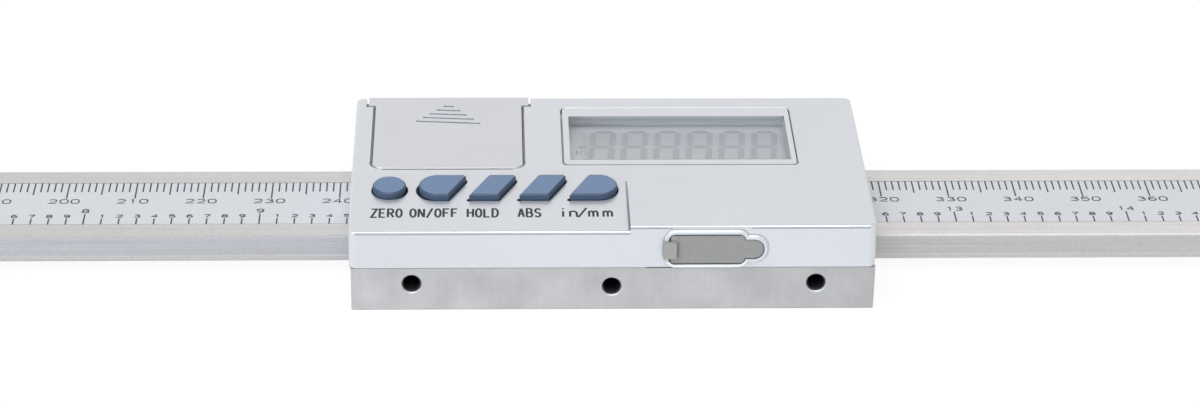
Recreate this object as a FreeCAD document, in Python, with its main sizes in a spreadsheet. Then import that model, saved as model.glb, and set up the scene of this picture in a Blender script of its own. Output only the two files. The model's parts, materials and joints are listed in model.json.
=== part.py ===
# Digital linear scale: a graduated stainless beam and the display slider that travels along it.
# Millimetres. +X runs along the beam, +Y to the back, +Z up. Z = 0 is the slider's underside,
# X = 0 the middle of the beam's length and Y = 0 the middle of its width.
import FreeCAD
import Part
import math
import os
import re
import Sketcher
from FreeCAD import Rotation, Vector

sizes = {
    # Beam and its measuring strip
    "beam_length": 620.0,
    "beam_width": 20.0,
    "beam_thickness": 4.1,
    "beam_chamfer": 0.25,
    "strip_width": 12.6,
    "strip_recess": 0.8,
    "strip_end_margin": 14.0,
    "strip_side_gap": 0.05,
    "electrode_thickness": 0.6,
    "graduation_thickness": 0.15,
    "end_hole_diameter": 4.3,
    "end_hole_inset": 7.0,
    "stop_inset": 20.0,
    "stop_head_diameter": 3.0,
    "stop_head_height": 1.2,
    "stop_shank_diameter": 2.0,
    "stop_shank_length": 3.0,
    # Place of the slider on the beam
    "zero_inset": 22.0,
    "rest_reading": 242.1,
    # Slider base with its guide
    "base_setback": 0.25,
    "base_floor": 2.35,
    "base_chamfer": 0.2,
    "guide_clearance": 0.05,
    "sensor_gap": 0.3,
    "gib_thickness": 0.5,
    "gib_end_gap": 2.0,
    "gib_screw_spacing": 48.0,
    "gib_screw_diameter": 2.5,
    "gib_screw_sink": 1.0,
    "thread_clearance": 0.05,
    "mount_inset": 8.85,
    "mount_spacing": 57.5,
    "mount_height": 4.3,
    "mount_centre_inset": 37.25,
    "mount_centre_drop": 0.5,
    "mount_diameter": 2.6,
    "mount_depth": 7.0,
    "mount_chamfer": 0.25,
    # Screws that hold the cover, from below
    "cover_screw_inset_x": 4.5,
    "cover_screw_inset_y": 3.9,
    "cover_screw_diameter": 2.0,
    "cover_screw_reach": 3.5,
    "screw_head_diameter": 3.8,
    "screw_head_height": 1.4,
    "screw_head_sink": 0.4,
    "screw_head_gap": 0.2,
    "boss_width": 4.0,
    # Circuit board and what stands on it
    "board_thickness": 1.0,
    "board_gap": 0.2,
    "board_notch_gap": 0.3,
    "board_screw_diameter": 1.6,
    "board_screw_head": 3.0,
    "board_screw_head_height": 0.9,
    "board_screw_reach": 2.2,
    "board_screw_front": 4.5,
    "board_screw_back": 34.5,
    "board_screw_inset": 21.3,
    "chip_side": 6.0,
    "chip_height": 1.2,
    "contact_pitch": 2.2,
    "contact_width": 1.0,
    "contact_thickness": 0.25,
    "contact_rise": 2.6,
    "contact_foot": 1.6,
    "contact_setback": 1.2,
    # Moulded cover
    "cover_wall": 1.6,
    "cover_roof": 1.6,
    "cover_corner": 1.0,
    "cover_edge": 0.4,
    "panel_depth": 13.7,
    "panel_drop": 0.87,
    "panel_margin": 1.52,
    "key_zone_depth": 17.5,
    "right_margin": 9.65,
    "pry_notch_start": 42.0,
    "pry_notch_width": 3.7,
    "pry_notch_height": 0.15,
    # Display
    "recess_length": 34.4,
    "recess_width": 18.2,
    "recess_corner": 0.8,
    "recess_rim": 0.15,
    "recess_back_margin": 3.4,
    "ledge_side": 1.1,
    "ledge_back": 1.85,
    "ledge_front": 2.75,
    "window_drop": 0.05,
    "window_gap": 0.2,
    "window_thickness": 0.5,
    "glass_margin": 1.9,
    "glass_thickness": 1.8,
    "glass_gap": 0.1,
    "frame_drop": 0.5,
    "frame_wall": 0.8,
    "frame_rim": 0.5,
    "frame_rim_width": 1.5,
    "frame_clearance": 0.15,
    "zebra_width": 1.6,
    # Coin cell, its bay and its lid
    "cell_diameter": 20.0,
    "cell_thickness": 3.2,
    "cell_step": 0.5,
    "cell_clearance": 0.25,
    "cell_top_gap": 0.3,
    "spring_height": 0.7,
    "spring_width": 3.0,
    "clip_width": 4.0,
    "clip_gap": 0.05,
    "strap_thickness": 0.2,
    "bay_wall": 0.9,
    "bay_rise": 0.5,
    "lid_margin": 2.8,
    "lid_side_overlap": 2.1,
    "lid_end_overlap": 2.5,
    "lid_thickness": 1.0,
    "lid_corner": 1.6,
    "lid_edge": 0.15,
    "lid_gap": 0.25,
    "lid_floor_gap": 0.05,
    "ear_width": 0.95,
    "ear_length": 2.75,
    "ear_gap": 0.08,
    "tongue_width": 0.5,
    "tongue_height": 0.4,
    "tongue_gap": 0.1,
    "display_gap": 5.75,
    "grip_width": 9.5,
    "grip_step": 2.0,
    "grip_pitch": 1.3,
    "grip_setback": 2.6,
    "grip_groove": 0.45,
    "grip_slope": 0.08,
    "grip_depth": 0.2,
    # Keys
    "key_row": 11.07,
    "key_depth": 5.45,
    "key_width": 4.2,
    "key_slant": 2.83,
    "key_spacing": 2.97,
    "key_corner": 0.5,
    "key_edge": 0.2,
    "key_stand": 0.95,
    "key_clearance": 0.2,
    "key_drop_gap": 0.1,
    "power_key_length": 5.65,
    "unit_key_length": 5.47,
    "zero_key_margin": 3.2,
    "zero_key_diameter": 4.75,
    "zero_key_gap": 1.87,
    "flange_lip": 0.6,
    "flange_thickness": 0.8,
    "stem_width": 1.8,
    "dome_width": 4.0,
    "dome_top": 2.6,
    "dome_height": 0.6,
    # Data port and its plug
    "port_start": 45.3,
    "port_length": 10.7,
    "port_height": 4.7,
    "port_nose_length": 2.65,
    "port_nose_height": 3.0,
    "port_corner": 0.85,
    "port_below_middle": 0.23,
    "port_clearance": 0.1,
    "collar_width": 0.6,
    "collar_height": 0.4,
    "collar_edge": 0.25,
    "plug_sink": 0.15,
    "tab_length": 1.9,
    "tab_height": 2.6,
    "tab_overhang": 0.85,
    "tab_stand": 0.45,
}

# How far a cut runs past the faces that it opens.
overshoot = 1.0
# Places closer than this are the same.
near = 1e-6
# The share of its half width that a rounded end takes, so that the two arcs stay apart.
key_round_share = 0.98
nose_round_share = 0.9
# The share of an octagon's width that one of its sides takes.
octagon_share = math.tan(math.pi / 8)
key_kinds = ["zero", "power", "hold", "absolute", "unit"]
grip_count = 5
contact_count = 4

doc = FreeCAD.newDocument("linear_scale")
sheet = doc.addObject("Spreadsheet::Sheet", "Sizes")
for row, (alias, number) in enumerate(sizes.items(), start=1):
    sheet.set(f"A{row}", alias)
    sheet.set(f"B{row}", str(number))
    sheet.setAlias(f"B{row}", alias)
doc.recompute()

# Formulas of the places that several pieces share. Slider places are counted from its left end,
# its front face and its underside.
beam_bottom = "(base_floor + guide_clearance)"
beam_top = f"({beam_bottom} + beam_thickness)"
base_top = f"({beam_top} + sensor_gap)"
board_top = f"({base_top} + board_thickness)"
ceiling = f"({board_top} + spring_height + cell_thickness + cell_top_gap)"
cover_top = f"({ceiling} + cover_roof)"

lid_width = "(cell_diameter + lid_side_overlap)"
lid_length = "(cell_diameter + lid_end_overlap)"
lid_left = "lid_margin"
lid_right = f"(lid_margin + {lid_width})"
recess_left = f"({lid_right} + display_gap)"
recess_right = f"({recess_left} + recess_length)"
slider_length = f"({recess_right} + right_margin)"
slider_depth = f"(key_zone_depth + {lid_length})"
slider_left = "(zero_inset + rest_reading - beam_length / 2)"
slider_front = f"(-{slider_depth} / 2)"
lid_bottom = f"({cover_top} - lid_thickness)"

channel_front = f"({slider_depth} / 2 - beam_width / 2 - guide_clearance)"
gib_front = f"({slider_depth} / 2 + beam_width / 2 + guide_clearance)"
channel_back = f"({gib_front} + gib_thickness)"

cell_x = f"({lid_left} + {lid_width} / 2)"
cell_y = f"({slider_depth} - cover_wall - cell_clearance - cell_diameter / 2)"
cell_bottom = f"({board_top} + spring_height)"

recess_back = f"({slider_depth} - recess_back_margin)"
recess_front = f"({recess_back} - recess_width)"
opening = [
    f"({recess_left} + ledge_side)",
    f"({recess_right} - ledge_side)",
    f"({recess_front} + ledge_front)",
    f"({recess_back} - ledge_back)",
]
window_top = f"({cover_top} - window_drop)"
window_bottom = f"({window_top} - window_thickness)"
frame_top = f"({ceiling} - frame_drop)"
glass_top = f"({frame_top} - frame_rim)"
glass_bottom = f"({glass_top} - glass_thickness)"
frame_back = f"({slider_depth} - cover_wall - frame_clearance)"
glass_back = f"({frame_back} - frame_wall - glass_gap)"
glass_left = f"({opening[0]} - glass_margin)"
glass_right = f"({opening[1]} + glass_margin)"
glass_front = f"({opening[2]} + glass_margin / 2)"

port_level = f"(({base_top} + {cover_top}) / 2 - port_below_middle)"
port_end = "(port_start + port_length)"
screw_places = [
    (x, y)
    for x in ("cover_screw_inset_x", f"({slider_length} - cover_screw_inset_x)")
    for y in ("cover_screw_inset_y", f"({slider_depth} - cover_screw_inset_y)")
]
board_screw_places = [
    ("board_screw_inset", "board_screw_front"),
    (f"({lid_right} + {recess_left} - glass_margin) / 2", "board_screw_back"),
]
head_low = "screw_head_sink"
head_high = "(screw_head_sink + screw_head_height)"


def bound(formula):
    # Puts the sheet's name in front of each size that a formula uses.
    def point_to_sheet(word):
        return "Sizes." + word.group() if word.group() in sizes else word.group()
    return re.sub(r"[a-z_]+", point_to_sheet, formula)


def origin_plane(body, role):
    return next(item for item in body.Origin.OriginFeatures if item.Role == role)


def new_body(name, on_slider=True):
    body = doc.addObject("PartDesign::Body", name)
    body.Label = name
    if on_slider:
        body.setExpression("Placement.Base.x", bound(slider_left))
        body.setExpression("Placement.Base.y", bound(slider_front))
    return body


def new_sketch(body, name, role, offset):
    sketch = body.newObject("Sketcher::SketchObject", name)
    sketch.AttachmentSupport = [(origin_plane(body, role), "")]
    sketch.MapMode = "FlatFace"
    sketch.setExpression("AttachmentOffset.Base.z", bound(offset))
    return sketch


def hold_point(sketch, geometry, point, place):
    # Fixes one point of the sketch at a place given by two formulas.
    for kind, formula in zip(("DistanceX", "DistanceY"), place):
        index = sketch.addConstraint(Sketcher.Constraint(kind, -1, 1, geometry, point, 1.0))
        sketch.setExpression(f"Constraints[{index}]", bound(formula))


def polygon(body, name, role, corners, offset="0"):
    sketch = new_sketch(body, name, role, offset)
    count = len(corners)
    turn = 2 * math.pi / count
    start = [Vector(math.cos(turn * i), math.sin(turn * i), 0) for i in range(count)]
    for i in range(count):
        sketch.addGeometry(Part.LineSegment(start[i], start[(i + 1) % count]), False)
    for i in range(count):
        sketch.addConstraint(Sketcher.Constraint("Coincident", i, 2, (i + 1) % count, 1))
    for i, corner in enumerate(corners):
        hold_point(sketch, i, 1, corner)
    return sketch


def box_corners(low_x, high_x, low_y, high_y):
    return [(low_x, low_y), (high_x, low_y), (high_x, high_y), (low_x, high_y)]


def octagon_corners(x, y, width):
    # Eight corners round a centre, from the width across the flats.
    flat, tip = f"{width} / 2", f"{width} / 2 * {octagon_share}"
    quarter = [(flat, tip), (tip, flat)]
    steps = quarter + [(f"-{across}", along) for across, along in reversed(quarter)]
    steps += [(f"-{across}", f"-{along}") for across, along in quarter]
    steps += [(across, f"-{along}") for across, along in reversed(quarter)]
    return [(f"{x} + {across}", f"{y} + {along}") for across, along in steps]


def circles(body, name, role, rings, offset="0"):
    # Each ring is a centre given by two formulas and a radius formula.
    sketch = new_sketch(body, name, role, offset)
    for i, (across, along, radius) in enumerate(rings):
        sketch.addGeometry(Part.Circle(Vector(3.0 * i, 0, 0), Vector(0, 0, 1), 1.0), False)
        hold_point(sketch, i, 3, (across, along))
        index = sketch.addConstraint(Sketcher.Constraint("Radius", i, 1.0))
        sketch.setExpression(f"Constraints[{index}]", bound(radius))
    return sketch


def extrude(body, kind, name, sketch, length, flip=False):
    # Adds a Pad or a Pocket and makes sure that it changes the solid.
    before = body.Shape.Volume if body.Tip else 0.0
    feature = body.newObject("PartDesign::" + kind, name)
    feature.Profile = sketch
    feature.Reversed = flip
    feature.setExpression("Length", bound(length))
    doc.recompute()
    change = body.Shape.Volume - before
    if (kind == "Pad") != (change > 0) or abs(change) < near:
        raise RuntimeError(f"{body.Label}: {name} changes the volume by {change}")
    return feature


def pad(body, name, sketch, length, flip=False):
    return extrude(body, "Pad", name, sketch, length, flip)


def pocket(body, name, sketch, length, flip=False):
    return extrude(body, "Pocket", name, sketch, length, flip)


def dress(body, kind, name, pick, size):
    # Rounds or bevels the edges that pick accepts.
    base = body.Tip
    names = [f"Edge{i}" for i, edge in enumerate(base.Shape.Edges, start=1) if pick(base.Shape, edge)]
    feature = body.newObject("PartDesign::" + kind, name)
    feature.Base = (base, names)
    feature.setExpression("Radius" if kind == "Fillet" else "Size", bound(size))
    doc.recompute()
    return feature


def upright(shape, edge):
    low, high = edge.Vertexes[0].Point, edge.Vertexes[-1].Point
    return edge.Curve.TypeId == "Part::GeomLine" and (low - high).cross(Vector(0, 0, 1)).Length < near


def along_depth(shape, edge):
    low, high = edge.Vertexes[0].Point, edge.Vertexes[-1].Point
    return edge.Curve.TypeId == "Part::GeomLine" and (low - high).cross(Vector(0, 1, 0)).Length < near


def face_normal(face):
    return face.normalAt(*face.Surface.parameter(face.CenterOfMass))


def rim_of(direction):
    # Picks the edges between a face that looks in the direction and a face square to it.
    def pick(shape, edge):
        slopes = [face_normal(face).dot(direction) for face in shape.ancestorsOfType(edge, Part.Face)]
        return any(slope > 0.9 for slope in slopes) and any(abs(slope) < 0.1 for slope in slopes)
    return pick


def prism(name, corners, low, high):
    body = new_body(name)
    sketch = polygon(body, name + "_outline", "XY_Plane", corners, low)
    pad(body, name + "_pad", sketch, f"{high} - {low}")
    return body


def rounded_prism(name, corners, low, high, radius):
    body = prism(name, corners, low, high)
    dress(body, "Fillet", name + "_corners", upright, radius)
    return body


def set_place(item, place, on_slider=True):
    shift = (slider_left, slider_front, "0") if on_slider else ("0", "0", "0")
    for axis, formula, start in zip("xyz", place, shift):
        item.setExpression(f"Placement.Base.{axis}", bound(f"{start} + {formula}"))


def block(name, low, high):
    # A plain block between two corners of the slider's own frame.
    item = doc.addObject("Part::Box", name)
    for side, start, end in zip(("Length", "Width", "Height"), low, high):
        item.setExpression(side, bound(f"{end} - {start}"))
    set_place(item, low)
    return item


def rod(name, place, radius, length, to_back=False, on_slider=True):
    # A cylinder that points up, or to the back.
    item = doc.addObject("Part::Cylinder", name)
    item.setExpression("Radius", bound(radius))
    item.setExpression("Height", bound(length))
    if to_back:
        item.Placement.Rotation = Rotation(Vector(1, 0, 0), -90)
    set_place(item, place, on_slider)
    return item


def group(name, items):
    item = doc.addObject("Part::Compound", name)
    item.Links = items
    return item


def fuse(name, items):
    item = doc.addObject("Part::MultiFuse", name)
    item.Shapes = items
    item.Refine = True
    return item


def cut(name, base, tools):
    item = doc.addObject("Part::Cut", name)
    item.Base = base
    item.Tool = tools
    return item


# Beam: a bevelled flat bar with a shallow recess for the strip, end holes and stop-screw holes.
def make_beam():
    body = new_body("scale_beam", on_slider=False)
    half = "beam_width / 2"
    profile = [
        (f"-{half} + beam_chamfer", beam_bottom),
        (f"{half} - beam_chamfer", beam_bottom),
        (half, f"{beam_bottom} + beam_chamfer"),
        (half, f"{beam_top} - beam_chamfer"),
        (f"{half} - beam_chamfer", beam_top),
        (f"-{half} + beam_chamfer", beam_top),
        (f"-{half}", f"{beam_top} - beam_chamfer"),
        (f"-{half}", f"{beam_bottom} + beam_chamfer"),
    ]
    pad(body, "bar", polygon(body, "bar_profile", "YZ_Plane", profile, "-beam_length / 2"), "beam_length")
    reach = "(beam_length / 2 - strip_end_margin)"
    recess = polygon(body, "recess_outline", "XY_Plane",
                     box_corners(f"-{reach}", reach, "-strip_width / 2", "strip_width / 2"), beam_top)
    pocket(body, "recess", recess, "strip_recess")
    hole = "beam_length / 2 - end_hole_inset"
    ends = [(sign + f"({hole})", "0", "end_hole_diameter / 2") for sign in ("-", "")]
    pocket(body, "end_holes", circles(body, "end_hole_rings", "XY_Plane", ends, beam_top), "beam_thickness")
    threads = [(x, y, "stop_shank_diameter / 2 + thread_clearance") for x, y in stop_places]
    pocket(body, "stop_holes", circles(body, "stop_hole_rings", "XY_Plane", threads, beam_top),
           "stop_shank_length + thread_clearance")
    return body


def strip_layer(name, low, high):
    # One layer of the measuring strip, laid in the beam's recess.
    body = new_body(name, on_slider=False)
    reach = "(beam_length / 2 - strip_end_margin - strip_side_gap)"
    half = "(strip_width / 2 - strip_side_gap)"
    corners = box_corners(f"-{reach}", reach, f"-{half}", half)
    sketch = polygon(body, name + "_outline", "XY_Plane", corners, low)
    pad(body, name + "_pad", sketch, f"{high} - {low}")
    return body


def stop_screw(name, x, y):
    # A cheese-head screw in the beam's back margin, which keeps the slider on the beam.
    head = rod(name + "_head", (x, y, beam_top), "stop_head_diameter / 2", "stop_head_height",
               on_slider=False)
    shank = rod(name + "_shank", (x, y, f"{beam_top} - stop_shank_length"), "stop_shank_diameter / 2",
                "stop_shank_length", on_slider=False)
    return fuse(name, [head, shank])


# Slider base: a channelled aluminium block with tapped mounting holes along its front.
def make_base():
    body = new_body("slider_base")
    profile = [
        ("0", "0"),
        (slider_depth, "0"),
        (slider_depth, base_top),
        (channel_back, base_top),
        (channel_back, "base_floor"),
        (channel_front, "base_floor"),
        (channel_front, base_top),
        ("0", base_top),
    ]
    pad(body, "channel", polygon(body, "channel_profile", "YZ_Plane", profile, "base_setback"),
        f"{slider_length} - base_setback")
    dress(body, "Chamfer", "lower_edges", rim_of(Vector(0, 0, -1)), "base_chamfer")
    rings = [
        ("mount_inset", "mount_height", "mount_diameter / 2"),
        ("mount_centre_inset", "mount_height - mount_centre_drop", "mount_diameter / 2"),
        ("mount_inset + mount_spacing", "mount_height", "mount_diameter / 2"),
    ]
    pocket(body, "mount_holes", circles(body, "mount_rings", "XZ_Plane", rings), "mount_depth")

    def at_mouth(shape, edge):
        return edge.Curve.TypeId == "Part::GeomCircle" and abs(edge.CenterOfMass.y) < near
    dress(body, "Chamfer", "mount_mouths", at_mouth, "mount_chamfer")
    shanks = [(x, y, "cover_screw_diameter / 2 + thread_clearance") for x, y in screw_places]
    pocket(body, "screw_holes", circles(body, "screw_rings", "XY_Plane", shanks), base_top, flip=True)
    heads = [(x, y, "screw_head_diameter / 2 + screw_head_gap") for x, y in screw_places]
    pocket(body, "head_sinks", circles(body, "head_rings", "XY_Plane", heads), head_high, flip=True)
    threads = [(x, y, "board_screw_diameter / 2 + thread_clearance") for x, y in board_screw_places]
    pocket(body, "board_holes", circles(body, "board_rings", "XY_Plane", threads, base_top),
           "board_screw_reach + thread_clearance")
    sets = [(x, gib_level, "gib_screw_diameter / 2 + thread_clearance") for x in gib_screw_places]
    pocket(body, "gib_holes", circles(body, "gib_rings", "XZ_Plane", sets, f"-{slider_depth}"),
           f"{slider_depth} - {channel_back}", flip=True)
    return body


def headed_screw(name, x, y):
    # A screw that comes up through the base into a boss of the cover.
    head = rod(name + "_head", (x, y, head_low), "screw_head_diameter / 2", "screw_head_height")
    shank = rod(name + "_shank", (x, y, head_high), "cover_screw_diameter / 2",
                f"{base_top} + cover_screw_reach - {head_high}")
    return fuse(name, [head, shank])


def board_screw(name, x, y):
    head = rod(name + "_head", (x, y, board_top), "board_screw_head / 2", "board_screw_head_height")
    shank = rod(name + "_shank", (x, y, f"{base_top} - board_screw_reach"), "board_screw_diameter / 2",
                "board_screw_reach + board_thickness")
    return fuse(name, [head, shank])


# Circuit board: lies across the channel on the base's two lands, notched round the cover's bosses.
def make_board():
    body = new_body("circuit_board")
    inset = "(cover_wall + board_gap)"
    sides = box_corners(inset, f"({slider_length} - {inset})", inset, f"({slider_depth} - {inset})")
    outline = polygon(body, "board_outline", "XY_Plane", sides, base_top)
    pad(body, "board_sheet", outline, "board_thickness")
    clear = "(boss_width / 2 + board_notch_gap)"
    ends_x = [("0", f"(cover_screw_inset_x + {clear})"),
              (f"({slider_length} - cover_screw_inset_x - {clear})", slider_length)]
    ends_y = [("0", f"(cover_screw_inset_y + {clear})"),
              (f"({slider_depth} - cover_screw_inset_y - {clear})", slider_depth)]
    for i, across in enumerate(ends_x):
        for j, along in enumerate(ends_y):
            corner = polygon(body, f"notch_{i}{j}", "XY_Plane", box_corners(*across, *along), board_top)
            pocket(body, f"notch_cut_{i}{j}", corner, "board_thickness")
    holes = [(x, y, "board_screw_diameter / 2 + thread_clearance") for x, y in board_screw_places]
    pocket(body, "board_screw_cuts", circles(body, "board_screw_rings", "XY_Plane", holes, board_top),
           "board_thickness")
    return body


def snap_dome(kind):
    # A low flat-topped dome with eight sloping sides that stands on the board under a key.
    body = new_body(f"{kind}_dome")
    corners = octagon_corners(key_centre(kind), "key_row", "dome_width")
    plate = pad(body, "dome", polygon(body, "dome_outline", "XY_Plane", corners, board_top), "dome_height")
    plate.setExpression("TaperAngle", bound("-atan((dome_width - dome_top) / 2 / dome_height)"))
    return body


def data_contact(name, x):
    # A bent finger that faces the data port.
    front = "(cover_wall + contact_setback)"
    body = new_body(name)
    profile = [
        (front, board_top),
        (f"{front} + contact_foot", board_top),
        (f"{front} + contact_foot", f"{board_top} + contact_thickness"),
        (f"{front} + contact_thickness", f"{board_top} + contact_thickness"),
        (f"{front} + contact_thickness", f"{board_top} + contact_rise"),
        (front, f"{board_top} + contact_rise"),
    ]
    sketch = polygon(body, name + "_profile", "YZ_Plane", profile, f"{x} - contact_width / 2")
    pad(body, name + "_pad", sketch, "contact_width")
    return body


# Display stack: frame, glass, contact strips and clear window.
def make_frame():
    body = new_body("lcd_frame")
    outer = box_corners(f"{glass_left} - glass_gap - frame_wall", f"{glass_right} + glass_gap + frame_wall",
                        f"{glass_front} - glass_gap - frame_wall", frame_back)
    pad(body, "frame_block", polygon(body, "frame_outline", "XY_Plane", outer, board_top),
        f"{frame_top} - {board_top}")
    seat = box_corners(f"{glass_left} - glass_gap", f"{glass_right} + glass_gap",
                       f"{glass_front} - glass_gap", f"{glass_back} + glass_gap")
    pocket(body, "glass_seat", polygon(body, "seat_outline", "XY_Plane", seat, board_top),
           f"{glass_top} - {board_top}", flip=True)
    view = box_corners(f"{glass_left} + frame_rim_width", f"{glass_right} - frame_rim_width",
                       f"{glass_front} + frame_rim_width", f"{glass_back} - frame_rim_width")
    pocket(body, "view_cut", polygon(body, "view_outline", "XY_Plane", view, frame_top), "frame_rim")
    return body


# Cell contacts: a sprung strap under the cell and an upright strap at its rim.
def make_cell_spring():
    body = new_body("cell_spring")
    crest = "spring_width / 2"
    foot = "spring_width * 1.5"
    profile = [
        (f"{cell_y} - {foot}", board_top),
        (f"{cell_y} - {crest}", board_top),
        (f"{cell_y} - {crest} + spring_height", f"{cell_bottom} - strap_thickness"),
        (f"{cell_y} + {crest}", f"{cell_bottom} - strap_thickness"),
        (f"{cell_y} + {crest}", cell_bottom),
        (f"{cell_y} - {crest} + spring_height - strap_thickness", cell_bottom),
        (f"{cell_y} - {crest} - strap_thickness", f"{board_top} + strap_thickness"),
        (f"{cell_y} - {foot}", f"{board_top} + strap_thickness"),
    ]
    sketch = polygon(body, "spring_profile", "YZ_Plane", profile, f"{cell_x} - spring_width / 2")
    pad(body, "spring_pad", sketch, "spring_width")
    return body


def make_cell_clip():
    body = new_body("cell_clip")
    back = f"({cell_y} - cell_diameter / 2 - clip_gap)"
    high = f"({cell_bottom} + cell_thickness - cell_step)"
    profile = [
        (f"{back} - clip_width / 2", board_top),
        (back, board_top),
        (back, high),
        (f"{back} - strap_thickness", high),
        (f"{back} - strap_thickness", f"{board_top} + strap_thickness"),
        (f"{back} - clip_width / 2", f"{board_top} + strap_thickness"),
    ]
    sketch = polygon(body, "clip_profile", "YZ_Plane", profile, f"{cell_x} - clip_width / 2")
    pad(body, "clip_pad", sketch, "clip_width")
    return body


def make_cell():
    # Coin cell: the wide can above, the stepped cap below.
    body = new_body("coin_cell")
    cap_ring = [(cell_x, cell_y, "cell_diameter / 2 - cell_step * 2")]
    pad(body, "cap", circles(body, "cap_ring", "XY_Plane", cap_ring, cell_bottom), "cell_step")
    can_ring = [(cell_x, cell_y, "cell_diameter / 2")]
    can = circles(body, "can_ring", "XY_Plane", can_ring, f"{cell_bottom} + cell_step")
    pad(body, "can", can, "cell_thickness - cell_step")
    dress(body, "Chamfer", "can_edge", rim_of(Vector(0, 0, 1)), "cell_step / 2")
    return body


# Lid: a plate with ears at the back, tongues at its sides and slanting finger grooves.
def lid_corners(gap, ear_gap, end):
    left, right = f"({lid_left} - {gap})", f"({lid_right} + {gap})"
    ear_left, ear_right = f"({left} - ear_width - {ear_gap})", f"({right} + ear_width + {ear_gap})"
    front, step = f"(key_zone_depth - {gap})", f"({slider_depth} - ear_length - {gap})"
    return [
        (left, front),
        (right, front),
        (right, step),
        (ear_right, step),
        (ear_right, end),
        (ear_left, end),
        (ear_left, step),
        (left, step),
    ]


def lid_front_corner(shape, edge):
    return upright(shape, edge) and edge.CenterOfMass.y < shape.BoundBox.YMin + near


def make_lid():
    body = new_body("battery_lid")
    outline = polygon(body, "lid_outline", "XY_Plane", lid_corners("0", "0", slider_depth), lid_bottom)
    pad(body, "lid_plate", outline, "lid_thickness")
    dress(body, "Fillet", "lid_front_corners", lid_front_corner, "lid_corner")

    def seen_edge(shape, edge):
        highest = max(vertex.Point.y for vertex in edge.Vertexes)
        step = min(vertex.Point.y for vertex in shape.Vertexes if vertex.Point.x < shape.BoundBox.XMin + near)
        return rim_of(Vector(0, 0, 1))(shape, edge) and highest < step + near
    dress(body, "Chamfer", "lid_edges", seen_edge, "lid_edge")
    front, back = "(key_zone_depth + lid_corner)", f"({slider_depth} - ear_length)"
    sides = [(f"{lid_left} - tongue_width", f"{lid_left} + tongue_width"),
             (f"{lid_right} - tongue_width", f"{lid_right} + tongue_width")]
    for i, (low, high) in enumerate(sides):
        sides_of_tongue = box_corners(low, high, front, back)
        tongue = polygon(body, f"tongue_outline_{i}", "XY_Plane", sides_of_tongue, lid_bottom)
        pad(body, f"tongue_{i}", tongue, "tongue_height")
    for i in range(grip_count):
        half = f"(grip_width / 2 - {i} * grip_step / 2)"
        line = f"({slider_depth} - grip_setback - {grip_count - 1 - i} * grip_pitch)"
        west, east = f"{line} + {half} * grip_slope", f"{line} - {half} * grip_slope"
        groove = [
            (f"{cell_x} - {half}", f"{west} - grip_groove"),
            (f"{cell_x} + {half}", f"{east} - grip_groove"),
            (f"{cell_x} + {half}", east),
            (f"{cell_x} - {half}", west),
        ]
        outline = polygon(body, f"grip_outline_{i}", "XY_Plane", groove, cover_top)
        pocket(body, f"grip_{i}", outline, "grip_depth")
    return body


# Keys: slanted caps that stand out of the sloping panel, each with a flange and a stem.
slant_stretch = "sqrt(1 + (key_slant / key_depth)^2)"
key_left = {"zero": "zero_key_margin"}
key_length = {
    "zero": "zero_key_diameter",
    "power": "power_key_length",
    "hold": "key_width",
    "absolute": "key_width",
    "unit": "unit_key_length",
}
for earlier, later in zip(key_kinds, key_kinds[1:]):
    spacing = "zero_key_gap" if earlier == "zero" else "key_spacing"
    key_left[later] = f"({key_left[earlier]} + {key_length[earlier]} + {spacing})"
panel_end = f"({key_left['unit']} + unit_key_length + panel_margin)"
row_front, row_back = "(key_row - key_depth / 2)", "(key_row + key_depth / 2)"
flange_top = f"({ceiling} - key_drop_gap)"
stem_low = f"({board_top} + dome_height)"


def key_centre(kind):
    return f"({key_left[kind]} + {key_length[kind]} / 2)"


def panel_level(along):
    return f"({cover_top} - panel_drop * (panel_depth - {along}) / panel_depth)"


def key_corners(kind, grow):
    # The outline of a key's cap: slanted sides lean to the right towards the back.
    lean = f"key_slant / key_depth * (key_depth / 2 + {grow})"
    left, right = key_left[kind], f"({key_left[kind]} + {key_length[kind]})"
    slanted_left = f"{left} - {grow} * {slant_stretch}"
    slanted_right = f"{right} + {grow} * {slant_stretch}"
    front, back = f"{row_front} - {grow}", f"{row_back} + {grow}"
    if kind == "power":
        west = [f"{left} - {grow}", f"{left} - {grow}"]
    else:
        west = [f"{slanted_left} - {lean}", f"{slanted_left} + {lean}"]
    if kind == "unit":
        east = [f"{right} + {grow}", f"{right} + {grow}"]
    else:
        east = [f"{slanted_right} - {lean}", f"{slanted_right} + {lean}"]
    return [(west[0], front), (east[0], front), (east[1], back), (west[1], back)]


def round_side(kind):
    # Picks the upright edges of the half-round end of the power and unit keys.
    def pick(shape, edge):
        box = shape.BoundBox
        side = box.XMin if kind == "power" else box.XMax
        points = [vertex.Point.x for vertex in edge.Vertexes]
        return upright(shape, edge) and all(abs(x - side) < near for x in points)
    return pick


def back_corner(shape, edge):
    # An upright edge between two flat sides, at the back of a key.
    faces = [face.Surface.TypeId for face in shape.ancestorsOfType(edge, Part.Face)]
    at_back = abs(edge.CenterOfMass.y - shape.BoundBox.YMax) < near
    return upright(shape, edge) and at_back and all(name == "Part::GeomPlane" for name in faces)


def add_cap(body, kind, grow, low, high):
    # The prism of a key's cap, grown outwards for the hole that it moves in.
    if kind == "zero":
        radius = f"zero_key_diameter / 2 + {grow}"
        outline = circles(body, "cap_ring", "XY_Plane", [(key_centre(kind), "key_row", radius)], low)
        pad(body, "cap", outline, f"{high} - {low}")
        return
    outline = polygon(body, "cap_outline", "XY_Plane", key_corners(kind, grow), low)
    pad(body, "cap", outline, f"{high} - {low}")
    if kind in ("power", "unit"):
        dress(body, "Fillet", "round_end", round_side(kind), f"(key_depth / 2 + {grow}) * {key_round_share}")
    dress(body, "Fillet", "back_corners", back_corner, f"key_corner + {grow}")


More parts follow.
